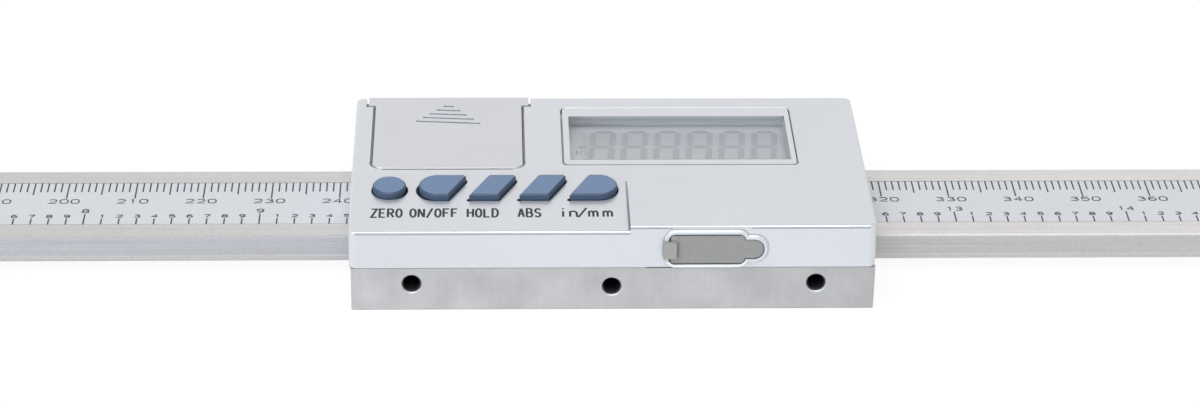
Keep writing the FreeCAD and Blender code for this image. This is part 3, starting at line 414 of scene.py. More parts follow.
def hexBars(start, end, thickness, low, high):
    # flat bars with pointed ends between arrays of start and end points
    ahead = (end - start) / np.linalg.norm(end - start, axis=1, keepdims=True)
    side = np.stack([-ahead[:, 1], ahead[:, 0]], 1)
    half = thickness / 2
    outline = np.stack([start, start + (ahead - side) * half, end - (ahead + side) * half,
                        end, end - (ahead - side) * half, start + (ahead + side) * half], 1)
    layers = [np.concatenate([outline, np.full((*outline.shape[:2], 1), level)], 2) for level in (low, high)]
    points = np.concatenate(layers, 1)
    ring = np.arange(6)
    sides = np.stack([ring, (ring + 1) % 6, (ring + 1) % 6 + 6, ring + 6], 1)
    quads = np.vstack([sides, [(3, 2, 1, 0), (5, 4, 3, 0), (6, 7, 8, 9), (6, 9, 10, 11)]])
    return points.reshape(-1, 3), (quads[None] + 12 * np.arange(len(start))[:, None, None]).reshape(-1, 4)


def printDigits(spec):
    # seven bars for each digit on the corners of a double square, leaning to the right, only a little darker
    # than the glass round them because the display is off
    level = nodeBox("lcd_glass")[1][2]
    wide, tall, middle = spec["width"] - spec["thickness"], spec["height"] - spec["thickness"], 0.5
    ends = np.array([((0, 1), (1, 1)), ((1, 1), (1, middle)), ((1, middle), (1, 0)), ((0, 0), (1, 0)),
                     ((0, middle), (0, 0)), ((0, 1), (0, middle)), ((0, middle), (1, middle))], float)
    ends = ends * (wide, tall)
    step = ends[:, 1] - ends[:, 0]
    step = step / np.linalg.norm(step, axis=1, keepdims=True) * spec["gap"]
    ends = np.stack([ends[:, 0] + step, ends[:, 1] - step], 1)
    shift = np.arange(spec["count"]) * spec["pitch"]
    ends = ends[None] + np.stack([shift, np.zeros(spec["count"])], 1)[:, None, None]
    minus = np.array([[(end - spec["first"], tall / 2) for end in spec["minus"]]])
    ends = np.concatenate([ends.reshape(-1, 2, 2), minus])
    ends[..., 0] += np.tan(np.radians(spec["slant"])) * (ends[..., 1] - tall / 2)
    ends += (sliderMiddle + spec["first"] + spec["thickness"] / 2, sliderFront + spec["bottom"])
    levels = (level - spec["proud"], level + spec["proud"])
    parts = [hexBars(ends[:, 0], ends[:, 1], spec["thickness"], *levels)]
    unit = spec["unit"]
    parts += words("in", sliderMiddle + spec["minus"][0], sliderFront + unit["bottom"], unit["cell"],
                   unit["pitch"], unit["stroke"], *levels)
    addPiece("displaySegments", parts, "slider",
             ink("restingSegments", "#AAB0B5", "#B2B8BD", blotch=1.5))


printDigits(digits)
print("marks printed")


# Screws turned on a lathe, with a drive sunk into the head's face.
def screwSurface(profile, drive, columns=72):
    # a profile of radius and height turned round the axis; the face sinks where the drive's outline lies
    turn = np.linspace(0, 2 * np.pi, columns, endpoint=False)
    radius, height = profile[:, :1], profile[:, 1:]
    x, y = radius * np.cos(turn), radius * np.sin(turn)
    if drive["kind"] == "hex":
        across = [np.abs(x * np.cos(a) + y * np.sin(a)) for a in np.radians((0, 60, 120))]
        inside = drive["width"] / 2 - np.max(across, 0)
    else:
        slot = np.minimum(drive["width"] / 2 - np.abs(x), drive["length"] / 2 - np.abs(y))
        other = np.minimum(drive["width"] / 2 - np.abs(y), drive["length"] / 2 - np.abs(x))
        inside = np.maximum(slot, other) if drive["kind"] == "cross" else slot
    sink = np.clip(inside / drive["slope"], 0, 1) * drive["depth"] * (height > -tiny)
    points = np.stack([x, y, height - sink], -1)
    return points.reshape(-1, 3), gridQuads(len(profile), columns, False, True)


def headProfile(head, shankRadius, length, faceRings=26, rimRings=6):
    # face, rounded rim, side, underside, shank and tip, as radius and height below the face
    radius, edge = head["radius"], head["edge"]
    face = np.column_stack([np.linspace(0, radius - edge, faceRings), np.zeros(faceRings)])
    bend = np.radians(np.linspace(90, 0, rimRings))
    rim = np.column_stack([radius - edge + edge * np.cos(bend), edge * np.sin(bend) - edge])
    foot = -head["height"]
    rest = chain((radius, foot), (shankRadius, foot), (shankRadius, -length), (0, -length))
    rest[:, 1] -= weld  # keeps the rest apart from the rim's last ring
    return np.vstack([face, rim[1:], rest])


# Bright metal, rolled and plated: its own colour with a fine turned grain that breaks up the shine.
# The real grain is too fine to show, so it is drawn coarser.
steel = {"lessRough": 0.06, "moreRough": 0.08, "tones": (0.88, 1.08)}


def brightSteel(name, colour, rough, grainSize=0.15):
    material, tree = startMaterial(name)
    streak = grain(tree, grainSize, detail=4.0)
    wear = addNode(tree, "MapRange", [streak, 0, 1, rough - steel["lessRough"], rough + steel["moreRough"]])
    tint = addNode(tree, "MapRange", [streak, 0, 1, *steel["tones"]])
    tone = shaded(tree, linear(colour), tint)
    return closeMaterial(material, tone, wear, etched=streak, strength=0.15, Metallic=1.0)


screwSteel = brightSteel("zincPlatedSteel", "#B9BABD", 0.3)
blackSteel = brightSteel("blackenedSteel", "#2C2C2F", 0.4)

screws = {
    "coverScrewHeads": {
        "node": "cover_screws", "body": "slider", "finish": screwSteel, "rows": 2,
        "turnTo": ((1, 0, 0), (0, -1, 0), (0, 0, -1)),  # heads face down
        "head": {"radius": 1.9, "height": 1.4, "edge": 0.25}, "shank": 1.0,
        "drive": {"kind": "cross", "width": 0.55, "length": 2.3, "depth": 0.75, "slope": 0.18},
    },
    "stopScrewHeads": {
        "node": "stop_screws", "body": "beam", "finish": screwSteel, "rows": 1,
        "turnTo": ((1, 0, 0), (0, 1, 0), (0, 0, 1)),  # up
        "head": {"radius": 1.5, "height": 1.2, "edge": 0.2}, "shank": 1.0,
        "drive": {"kind": "slot", "width": 0.45, "length": 3.4, "depth": 0.5, "slope": 0.05},
    },
    "gibScrewEnds": {
        "node": "gib_screws", "body": "slider", "finish": blackSteel, "rows": 1,
        "turnTo": ((1, 0, 0), (0, 0, 1), (0, -1, 0)),  # back
        "head": {"radius": 1.25, "height": 0.5, "edge": 0.2}, "shank": 1.25,
        "drive": {"kind": "hex", "width": 1.3, "depth": 0.9, "slope": 0.06},
    },
}


def turnScrews(name, spec):
    # one lathe surface at each place, its axis turned to where the heads face: places lie a head's radius in
    # from the sides of the node's box, or in its middle where there is one row
    low, high = nodeBox(spec["node"])
    turnTo, reach = np.array(spec["turnTo"]), spec["head"]["radius"]
    up = np.argmax(np.abs(turnTo[:, 2]))
    face = high[up] if turnTo[up, 2] > 0 else low[up]
    points, quads = screwSurface(headProfile(spec["head"], spec["shank"], (high - low)[up]), spec["drive"])
    parts = []
    for x in (low[0] + reach, high[0] - reach):
        for row in ((low + reach, high - reach) if spec["rows"] == 2 else ((low + high) / 2,)):
            spot = row.copy()
            spot[0], spot[up] = x, face
            parts.append((points @ turnTo.T + spot, quads))
    piece = addPiece(name, parts, spec["body"], spec["finish"])
    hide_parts(spec["node"])


for name, spec in screws.items():
    turnScrews(name, spec)

# middles of the three tapped holes in the slider's front, as places along and up
mounts = {mount["name"]: mount for mount in frame["record"]["mounts"]}
boltReach = mounts["slider_bolts"]["dims"]["spacing_x_mm"] / 2
mountPlaces = []
for name, shift in (("slider_bolts", -boltReach), ("slider_bolts", boltReach), ("slider_middle_thread", 0)):
    x, _, z = mounts[name]["pos_m"]
    mountPlaces.append((x / mm + shift, z / mm))

threads = {"crest": 1.17, "root": 1.27, "outer": 1.295, "pitch": 0.5, "start": 0.3, "end": 6.9,
           "columns": 40, "rowsPerTurn": 6}


def cutThreads(spec):
    # a sleeve whose inner radius rises and falls once per pitch along a helix, closed by a plain outer wall
    depth = np.arange(spec["start"], spec["end"], spec["pitch"] / spec["rowsPerTurn"])[:, None]
    turn = np.linspace(0, 2 * np.pi, spec["columns"], endpoint=False)[None]
    phase = depth / spec["pitch"] + turn / (2 * np.pi)
    wave = np.abs(2 * (phase % 1) - 1)
    radius = np.concatenate([spec["crest"] + (spec["root"] - spec["crest"]) * wave,
                             np.full_like(wave, spec["outer"])[::-1]])
    inward = np.concatenate([depth, depth[::-1]]) + np.zeros_like(turn)
    points = np.stack([radius * np.cos(turn), inward, radius * np.sin(turn)], -1).reshape(-1, 3)
    quads = gridQuads(len(radius), spec["columns"], True, True)
    parts = [(points + (x, sliderFront, z), quads) for x, z in mountPlaces]
    addPiece("mountThreads", parts, "slider", brightSteel("oiledThread", "#57575D", 0.45))


cutThreads(threads)

cellMark = {"size": 5.0, "stroke": 0.5, "proud": 0.02}


def markCell(spec):
    # a plain plus sign in the middle of the cell's face
    low, high = nodeBox("coin_cell")
    x, y = (low[:2] + high[:2]) / 2
    half, clear = spec["size"] / 2, spec["stroke"] / 2
    paths = [chain((x - half, y), (x + half, y)), chain((x, y - half), (x, y - clear)),
             chain((x, y + clear), (x, y + half))]
    parts = [ribbon(path, spec["stroke"], high[2] - spec["proud"], high[2] + spec["proud"]) for path in paths]
    addPiece("cellMark", parts, "slider", ink("cellMarkInk", "#55565A", "#66676B", blotch=0.6))


markCell(cellMark)
print("screws, threads and cell mark made")


# Silver paint on moulded plastic: fine metal flake under a satin coat, with faint clouds.
# Real flake is too fine to show, so it is drawn coarser.
# The flake throws part of the light back like metal, so rounded edges show a bright line beside a grey one.
# On flat tops it lies deeper in the coat and mirrors less, so they stay grey from behind the lamps as well.
# The sloping key panel is the glossiest and shows the keys' walls as a soft dark foot.
# Strips and spots are places of another tone: the dark seam, painted shade and shadow in gaps, grooves, wells
# and key gaps, painted dark reflection lines under rounded edges, and painted highlights, some of them toned
# down.
paint = {
    "cloudSize": 14,
    "cloudDepth": 0.015,
    "metal": 0.4,
    "flatMetal": 0.1,
    "panelMetal": 0.6,
    "panelFrom": 0.99,  # upward part of a face's direction, from which it belongs to the panel
    "flatFrom": 0.9995,  # and from which it is a flat top
    "spotDepth": 0.5,  # spots end this far below the cover's top
    # painted shade in gaps, and wider, softer painted shade under the keys and in corners
    "gapShade": 0.25,
    "cornerReach": 2.2,
    "cornerShade": 0.7,
}


def silverPaint(name, colour, flakeSize, flakeDepth, rough, edge, reach, strips, spots=(), unshaded=()):
    material, tree = startMaterial(name)
    flake, cloud = grain(tree, flakeSize, detail=2.0), grain(tree, paint["cloudSize"])
    tint, lessMirror = colour, 0.0
    # each strip is another tone, mostly painted shade, reflection and light, and mirrors less than the plain
    # paint
    for box, hexCode in strips:
        mask = insideBox(tree, box)
        tint = tinted(tree, tint, mask, hexCode)
        lessMirror = addNode(tree, "Math MAXIMUM", [lessMirror, mask])
    up = facing(tree)[2]
    upward = addNode(tree, "Math GREATER_THAN", [up, paint["panelFrom"]])
    flat = addNode(tree, "Math GREATER_THAN", [up, paint["flatFrom"]])
    slope = addNode(tree, "Math SUBTRACT", [upward, flat])
    dull = addNode(tree, "Math MAXIMUM", [lessMirror, flat])
    plain = addNode(tree, "MapRange", [dull, 0, 1, paint["metal"], paint["flatMetal"]])
    metal = addNode(tree, "MapRange", [slope, 0, 1, plain, paint["panelMetal"]])
    onFace = insideBox(tree, block(allAlong, allAlong, (coverTop - paint["spotDepth"], coverTop + 1)))
    for middle, spotReach, hexCode in spots:
        near = nearPoint(tree, middle, spotReach, (1, 1, 0))
        spot = addNode(tree, "Math MULTIPLY", [near, onFace])
        tint = tinted(tree, tint, spot, hexCode)
    tone = speckled(tree, speckled(tree, tint, flake, flakeDepth), cloud, paint["cloudDepth"])
    # painted shade in gaps, then wider, softer painted shade under the keys and in corners
    gapShaded = paintGapShade(tree, tone, reach, paint["gapShade"])
    gapShaded = paintGapShade(tree, gapShaded, paint["cornerReach"], paint["cornerShade"])
    # the painted gap shade is left off the unshaded boxes
    for box in unshaded:
        gapShaded = tinted(tree, gapShaded, insideBox(tree, box), tone)
    return closeMaterial(material, gapShaded, rough, etched=flake, strength=0.04, edge=edge, Metallic=metal)


# Ground stainless bar: long fine grinding lines, warm mottling, sides darker than the top, and broken edges
# with painted shade at the left and a painted highlight at the right.
bar = {
    "grindSize": (45, 0.22, 0.22),  # real grinding lines are finer, these are as coarse as they need to be
    "mottleSize": 9,
    "speckSize": 0.45,
    "topReach": (-0.11, 0.07),  # the light grows along these metres of the beam
    "topLight": (0.85, 1.02),
    "sideReach": (-0.05, 0.03),
    "wear": [(0, 0.85, "#C4C3C4"), (0.85, 0.95, "#D2D2D5")],  # runs of wear above the lower edge
    "onBreak": (0.4, 0.5),  # sideways part of a face's direction, from which it is a broken edge
    "onSide": (0.8, 0.9),  # and from which it is a side
    "grindDepth": 0.08,
    "speckDepth": 0.05,
    "rough": (0.38, 0.55),
    "metal": 0.65,
    "breakMetal": 0.1,
}


def groundStainless(spec):
    material, tree = startMaterial("groundStainless")
    grind, speck = grain(tree, spec["grindSize"], detail=4.0), grain(tree, spec["speckSize"])
    warm = tinted(tree, "#DAD7D5", grain(tree, spec["mottleSize"], detail=5.0), "#E4E2E1")
    x = position(tree)[0]
    top = shaded(tree, warm, addNode(tree, "MapRange", [x, *spec["topReach"], *spec["topLight"]]))
    # the sides are bluish at the left and warmer to the right; the broken edge is painted as hardly lit at
    # the left and as a bright highlight at the right
    toRight = addNode(tree, "MapRange", [x, *spec["sideReach"]])
    side = tinted(tree, "#BFBFC4", toRight, "#C1C0BE")
    edge = tinted(tree, "#A4A4A7", toRight, "#D0D0D1")
    foot = nodeBox("scale_beam")[0][2]
    for low, high, hexCode in spec["wear"]:
        run = insideBox(tree, block(allAlong, allAlong, (foot + low, foot + high)))
        side = tinted(tree, side, run, hexCode)
    turned = addNode(tree, "Math ABSOLUTE", [facing(tree)[1]])
    onSide, onBreak = (addNode(tree, "MapRange", [turned, *spec[name]]) for name in ("onSide", "onBreak"))
    face = tinted(tree, tinted(tree, top, onBreak, edge), onSide, side)
    tone = speckled(tree, speckled(tree, face, grind, spec["grindDepth"]), speck, spec["speckDepth"])
    rough = addNode(tree, "MapRange", [grind, 0, 1, *spec["rough"]])
    lessMirror = addNode(tree, "Math SUBTRACT", [onBreak, onSide])
    metal = addNode(tree, "MapRange", [lessMirror, 0, 1, spec["metal"], spec["breakMetal"]])
    return closeMaterial(material, tone, rough, etched=grind, Metallic=metal)


# Printed aluminium foil: satin, pale blue-grey, with a fine rolled grain, drawn coarser than it is to show.
def printedFoil(rolledSize=0.35, cloudSize=12):
    material, tree = startMaterial("printedAluminiumFoil")
    rolled = grain(tree, rolledSize)
    tint = tinted(tree, "#DADCE2", grain(tree, cloudSize, detail=2.0), "#E1E3E6")
    tone = speckled(tree, tint, rolled, depth=0.03)
    return closeMaterial(material, tone, rough=0.5, etched=rolled, Metallic=0.3)


# Milled aluminium: matt grey with fine upright tool marks and faint blotches from handling.
milled = {
    "uprightSize": (0.3, 0.3, 9),
    "underSize": (15, 0.4, 0.4),  # the underside is milled along its length
    "underFrom": -0.7,  # upward part of a face's direction there
    "lineDepth": 0.025,
    "underDepth": 0.075,
    "blotchSize": 7,
    "blotchRange": (0.32, 0.68),
    "reach": (-0.03, 0.03),  # the light falls along these metres of the slider
    "rightLight": 0.87,
    "mouths": [(1.66, "#C6C6C9"), (1.37, "#1A1A1C")],  # a pale ring round each hole's mouth, then a near-black disc, painted shade where the hole goes dark
    "mouthDepth": 0.6,
}


def milledAluminium(spec):
    material, tree = startMaterial("milledAluminium")
    upright, flat = grain(tree, spec["uprightSize"]), grain(tree, spec["underSize"])
    below = addNode(tree, "Math LESS_THAN", [facing(tree)[2], spec["underFrom"]])
    tool = addNode(tree, "Mix", {0: below, 2: upright, 3: flat}, data_type="FLOAT")
    blotch = grain(tree, spec["blotchSize"], detail=6.0, Roughness=0.65)
    tint = tinted(tree, "#BAB9BA", addNode(tree, "MapRange", [blotch, *spec["blotchRange"]]), "#CDCCCD")
    # the tool marks are deeper on the underside
    lined = speckled(tree, tint, tool, spec["lineDepth"])
    tone = tinted(tree, lined, below, speckled(tree, tint, tool, spec["underDepth"]))
    fade = addNode(tree, "MapRange", [position(tree)[0], *spec["reach"], 1.0, spec["rightLight"]])
    tone = shaded(tree, tone, fade)
    # a pale ring round each tapped hole's mouth and painted shade inside it
    ahead = insideBox(tree, block(allAlong, (sliderFront - 1, sliderFront + spec["mouthDepth"]), allAlong))
    for x, z in mountPlaces:
        for reach, hexCode in spec["mouths"]:
            ring = nearPoint(tree, (x, sliderFront, z), reach, (1, 0, 1))
            mouth = addNode(tree, "Math MULTIPLY", [ring, ahead])
            tone = tinted(tree, tone, mouth, hexCode)
    # painted shade in narrow gaps and inner corners
    gapShaded = paintGapShade(tree, tone, reach=0.4, darkest=0.4)
    return closeMaterial(material, gapShaded, rough=0.5, etched=tool, strength=0.06, Metallic=0.45)


# Blue-grey moulded keys with a fine etched grain: faces turned up are coloured paler than the walls.
# Real etching is too fine to show, so it is drawn coarser.
def keyPlastic(etchSize=0.25, edge=0.08, topFrom=0.74, topTo=0.95):
    material, tree = startMaterial("etchedKeyPlastic")
    etch = grain(tree, etchSize)
    onTop = addNode(tree, "MapRange", [facing(tree)[2], topFrom, topTo])
    tone = speckled(tree, tinted(tree, "#3F516B", onTop, "#7087A8"), etch, depth=0.04)
    return closeMaterial(material, tone, rough=0.5, etched=etch, strength=0.12, edge=edge)


# Grey soft rubber plug, dusty matt, with a paler, warmer pull tab, partly painted light where it stands out,
# and painted shadow along its rims.
def greyRubber(tabEnd, shadedRims, dustSize=0.5, edge=0.15, fade=0.1):
    material, tree = startMaterial("greyRubber")
    dust = grain(tree, dustSize, detail=4.0)
    # the tab is partly painted light: paler where it stands out from the face
    tab = addNode(tree, "MapRange", [position(tree)[0], tabEnd * mm, (tabEnd - fade) * mm])
    tint = tinted(tree, "#979695", tab, "#A2A09B")
    # painted shadow along the rims, where the collar shades the face
    for box in shadedRims:
        tint = tinted(tree, tint, insideBox(tree, box), "#5E5E5E")
    # painted shade in gaps and corners
    gapShaded = paintGapShade(tree, speckled(tree, tint, dust, depth=0.04), reach=0.5, darkest=0.2)
    return closeMaterial(material, gapShaded, rough=0.7, etched=dust, strength=0.15, edge=edge)


# Display glass over a grey reflective polariser: satin front film with a faint grain, paler at two edges
# where the frame throws light back.
glass = {
    "filmSize": 0.6,  # coarser than the real film's grain, which wouldn't show
    "leftLeak": (4.2, 1.8),  # from where to where the light fades, inwards from the glass's edge
    "backLeak": (5.0, 2.0),
    "backShare": 0.7,
}


def polariserGlass(spec):
    material, tree = startMaterial("polariserGlass")
    tint = tinted(tree, "#BBC0C5", grain(tree, spec["filmSize"]), "#C3C8CD")
    low, high = nodeBox("lcd_glass")
    x, y, _ = position(tree)
    inner, outer = (low[0] + inset for inset in spec["leftLeak"])
    atLeft = addNode(tree, "MapRange", [x, inner * mm, outer * mm])
    inner, outer = (high[1] - inset for inset in spec["backLeak"])
    atBack = addNode(tree, "MapRange", [y, inner * mm, outer * mm])
    faint = addNode(tree, "Math MULTIPLY", [atBack, spec["backShare"]])
    leak = addNode(tree, "Math MAXIMUM", [atLeft, faint])
    return closeMaterial(material, tinted(tree, tint, leak, "#E6EAEE"), rough=0.3)


# Clear acrylic window: nearly invisible in the middle, with a silver frame printed round it.
def clearAcrylic(opening, underside, filmSize=3, frameRough=0.3, clearRough=0.05, clearAlpha=0.05):
    material, tree = startMaterial("clearAcrylic")
    clear = addNode(tree, "Math MAXIMUM", [insideBox(tree, box) for box in (opening, underside)])
    cover = addNode(tree, "MapRange", [clear, 0, 1, 1, clearAlpha])
    rough = addNode(tree, "MapRange", [clear, 0, 1, frameRough, clearRough])
    tint = tinted(tree, "#DADCE1", grain(tree, filmSize, detail=2.0), "#DDDFE4")
    # painted shade in the gaps round the window
    gapShaded = paintGapShade(tree, tint, reach=0.4, darkest=0.3)
    return closeMaterial(material, gapShaded, rough, IOR=1.49, Alpha=cover)


# Plain moulded or rubber pieces inside: an even colour with a fine moulded grain.
def mouldedPlastic(name, colour, other, grainSize, rough):
    material, tree = startMaterial(name)
    mould = grain(tree, grainSize)
    tone = tinted(tree, colour, mould, other)
    return closeMaterial(material, tone, rough, etched=mould, strength=0.15, depth=0.02)


# Bands of two finishes along the beam: copper pads on laminate, or carbon layers in rubber.
# Real carbon layers are too fine to show, so they are drawn coarser.
def bandedSheet(name, colour, band, pitch, share, metal, rough, grainSize=0.4):
    material, tree = startMaterial(name)
    phase = addNode(tree, "Math MULTIPLY", [position(tree)[0], 1 / (pitch * mm)])
    part = addNode(tree, "Math FRACT", [phase])
    onBand = addNode(tree, "Math LESS_THAN", [part, share])
    tone = speckled(tree, tinted(tree, colour, onBand, band), grain(tree, grainSize), depth=0.06)
    shine = addNode(tree, "Math MULTIPLY", [onBand, metal]) if metal else 0.0
    return closeMaterial(material, tone, rough, Metallic=shine)


# Solder mask over copper tracks: green with slightly paler raised lines.
def solderMask(trackSize=2.2, trackWidth=0.05, grainSize=0.8):
    material, tree = startMaterial("solderMaskedBoard")
    place = addNode(tree, "TexCoord", out="Object")
    track = addNode(tree, "TexBrick", {
        "Vector": place, "Scale": 1 / (trackSize * mm), "Mortar Size": trackWidth,
        "Color1": (0, 0, 0, 1), "Color2": (0.25, 0.25, 0.25, 1), "Mortar": (1, 1, 1, 1)})
    ground = tinted(tree, "#16452A", grain(tree, grainSize), "#1B5333")
    tone = tinted(tree, ground, track, "#2E7A4C")
    return closeMaterial(material, tone, rough=0.35, etched=track, strength=0.4, depth=0.03)


def capCorner(kind, pick):
    # the corner of a key's cap that lies furthest in a direction of the plan
    vertices = nodes[f"{kind}_key"].data.vertices
    points = np.empty(len(vertices) * 3)
    vertices.foreach_get("co", points)
    points = points.reshape(-1, 3) / mm
    points = points[points[:, 2] > coverTop]
    return points[np.argmax(points[:, :2] @ np.array(pick))]


coverPlaces = {
    "past": 1.0,  # marks reach this far past the faces that they colour
    "windowFrame": {"left": 0.9, "right": 0.75, "front": 1.45, "back": 2.55},
    "printInset": 0.05,  # the window's border is printed on its top, not on its walls
    "portFromTab": 0.85,
    "portWidth": 10.7,
    "faceFromTab": 0.55,
    "tabLength": 1.9,
    "stepFromKey": 1.52,  # from the unit key's cap to the step beside the panel
    "lidCorner": 2.55,  # from the lid's widest side to the middle of its corner
    "earDepth": 2.75,
    # each pair is a reach from the edge or face that its mark follows
    "rimShadow": {"top": (-0.2, 1), "foot": (-1, 0.1), "left": (-0.1, 0.2)},
    "well": {"up": (-3, 0.02), "backWall": (-2.2, -1), "wallTop": (-0.3, 0.02)},
    "seamLine": (-1, 0.14),
    "lidGap": {"along": (-0.5, -0.2), "up": (-0.1, 1)},
    "step": {"across": (-0.3, 0.02), "along": (0.3, 13.5), "up": (-2, -0.02)},
    "edgeLine": {"up": (-0.5, -0.3), "along": (-0.01, 0.15), "panel": (-0.2, 0.15), "port": (0.45, 11.6),
                 "fromEnds": 1},
    "collar": {"fromPort": 1, "fromRight": 5, "rim": (-0.37, -0.12), "face": (-1, -0.37), "lip": 0.3},
    "recessBack": {"along": (0, 0.4), "low": 0.3, "high": 0.1},
    "grooves": {"across": (-6, 6), "along": (-9, -2), "up": (-0.3, -0.1)},
    "lidEdge": {"along": (-1, 0.13), "up": (-0.5, 1)},
    "ear": {"inward": (-1, 1.05), "along": (-0.2, 0.15), "up": (-0.2, 1)},
    "flank": {"inward": (0.9, 1.08), "fromFront": 1.5, "fromEar": 0.3, "up": (-0.2, -0.01)},
    # the painted shadows beside the keys start from the cap's corner that lies furthest in a direction, with
    # a shift and a reach
    "keyGapShadows": [("zero", (1, 0), (-2.1, -0.1, 0), 2.44), ("power", (-1, 0), (2.35, -0.2, 0), 2.8)]
                + [(kind, (-1, -1.2), (0, 0, 0), 0.36) for kind in keyKinds[2:]],
    "lidCornerShade": {"fromFront": 1.6, "reach": 1.91},
}


def span(origin, pair):
    # a reach that is given from an edge or a face
    return origin + pair[0], origin + pair[1]


def placeMarks(spec):
    # blocks and spots in which the window, the plug and the paint change their tone
    past = spec["past"]
    (left, near, base), (right, far, rim) = nodeBox("display_window")
    border, inset = spec["windowFrame"], spec["printInset"]
    opening = block((left + border["left"], right - border["right"]),
                    (near + border["front"], far - border["back"]), (base - past, rim + past))
    underside = block((left + inset, right - inset), (near + inset, far - inset), (base - past, rim - inset))

    (tabEnd, tabFront, plugFoot), (_, _, plugTop) = nodeBox("port_plug")
    portLeft, deep = tabEnd + spec["portFromTab"], (tabFront + spec["faceFromTab"], 0)
    # painted shadow on the plug's face along the top, foot and left of the port, where the collar shades it
    port, rimShadow = (portLeft, portLeft + spec["portWidth"]), spec["rimShadow"]
    shadedRims = [block(port, deep, span(plugTop, rimShadow["top"])), block(port, deep, span(plugFoot, rimShadow["foot"])),
            block(span(portLeft, rimShadow["left"]), deep, (plugFoot, plugTop))]

    # painted shade on the walls of the display's well and painted light on the top of its back wall, the dark
    # seam, then painted shade in the gap before the lid and beside the step by the panel
    top, front, seam = coverTop, sliderFront, nodeBox("slider_base")[1][2]
    (lidLeft, lidFront, _), (lidRight, lidBack, _) = nodeBox("battery_lid")
    lidCorners = (lidLeft + spec["lidCorner"], lidRight - spec["lidCorner"])
    stepAt = capCorner("unit", (1, 0))[0] + spec["stepFromKey"]
    beside, walls, gap, step = (left - past, right + past), spec["well"], spec["lidGap"], spec["step"]
    well = block(beside, (near, far + walls["backWall"][1]), span(base, walls["up"]))
    strips = [
        (well, "#BCBFC5"),
        (block(beside, span(far, walls["backWall"]), span(base, walls["wallTop"])), "#E8E9EB"),
        (block(allAlong, allAlong, span(seam, spec["seamLine"])), "#92979F"),
        (block(lidCorners, span(lidFront, gap["along"]), span(top, gap["up"])), "#2A2D33"),
        (block(span(stepAt, step["across"]), span(front, step["along"]), span(top, step["up"])), "#A2A7B0"),
    ]
    # a painted dark reflection: a grey line under the front edge's highlight, along the lower panel and on
    # both sides of the port
    line = spec["edgeLine"]
    start, end = sliderLow[0] + line["fromEnds"], sliderHigh[0] - line["fromEnds"]
    portStart, portEnd = span(portLeft, line["port"])
    for across, drop, along in (((start, stepAt), keyWords["panelDrop"], line["panel"]),
                                ((stepAt, portStart), 0, line["along"]), ((portEnd, end), 0, line["along"])):
        strips.append((block(across, span(front, along), span(top - drop, line["up"])), "#A0A6B0"))
    # the port's collar and its face, which mirror less than the paint, and its lower lip painted pale,
    # painted light; then the back of the display's recess, painted a little darker to tone down its highlight
    collar, recess = spec["collar"], spec["recessBack"]
    across = (portLeft - collar["fromPort"], sliderHigh[0] - collar["fromRight"])
    lip = (collar["face"][0], collar["rim"][1])
    strips += [
        (block(across, span(front, collar["rim"]), (seam, top)), "#D8DBE0"),
        (block(across, span(front, collar["face"]), (seam, top)), "#D6DAE0"),
        (block(across, span(front, lip), (seam, plugFoot + collar["lip"])), "#F2F4F7"),
        (block((left, right), span(far, recess["along"]), (base + recess["low"], top + recess["high"])),
         "#D6D8DD"),
    ]
    # painted shadow: dark crescents in the gaps beside the keys, which sit a little off the middle of their
    # holes, and painted shade at the lid's corners
    spots = [(capCorner(kind, pick) + shift, reach, "#1C1D20")
             for kind, pick, shift, reach in spec["keyGapShadows"]]
    corner = spec["lidCornerShade"]
    spots += [((x, lidFront + corner["fromFront"], 0), corner["reach"], "#5A5E66") for x in lidCorners]
    # the painted gap shade is left off the walls of the display's well, which have painted tones of their own
    cover = {"strips": strips, "spots": spots, "unshaded": [well]}

    # painted shade in the lid's finger grooves, its front edge toned and mirroring less to soften its
    # highlight, then painted shade in the gaps at its ears and sides
    middle, earFront = (lidLeft + lidRight) / 2, lidBack - spec["earDepth"]
    grooves, edge, ear, flank = (spec[name] for name in ("grooves", "lidEdge", "ear", "flank"))
    strips = [
        (block(span(middle, grooves["across"]), span(lidBack, grooves["along"]), span(top, grooves["up"])),
         "#B8BCC3"),
        (block((lidLeft, lidRight), span(lidFront, edge["along"]), span(top, edge["up"])), "#CDD0D6"),
    ]
    flankAlong = (lidFront + flank["fromFront"], earFront - flank["fromEar"])
    for side, inward in ((lidLeft, 1), (lidRight, -1)):
        earAcross, flankAcross = (sorted(side + inward * reach for reach in mark["inward"])
                                  for mark in (ear, flank))
        strips += [
            (block(earAcross, span(earFront, ear["along"]), span(top, ear["up"])), "#6A6F78"),
            (block(flankAcross, flankAlong, span(top, flank["up"])), "#5C6068"),
        ]
    return {"window": (opening, underside), "plug": (tabEnd + spec["tabLength"], shadedRims),
            "cover": cover, "lid": {"strips": strips}}


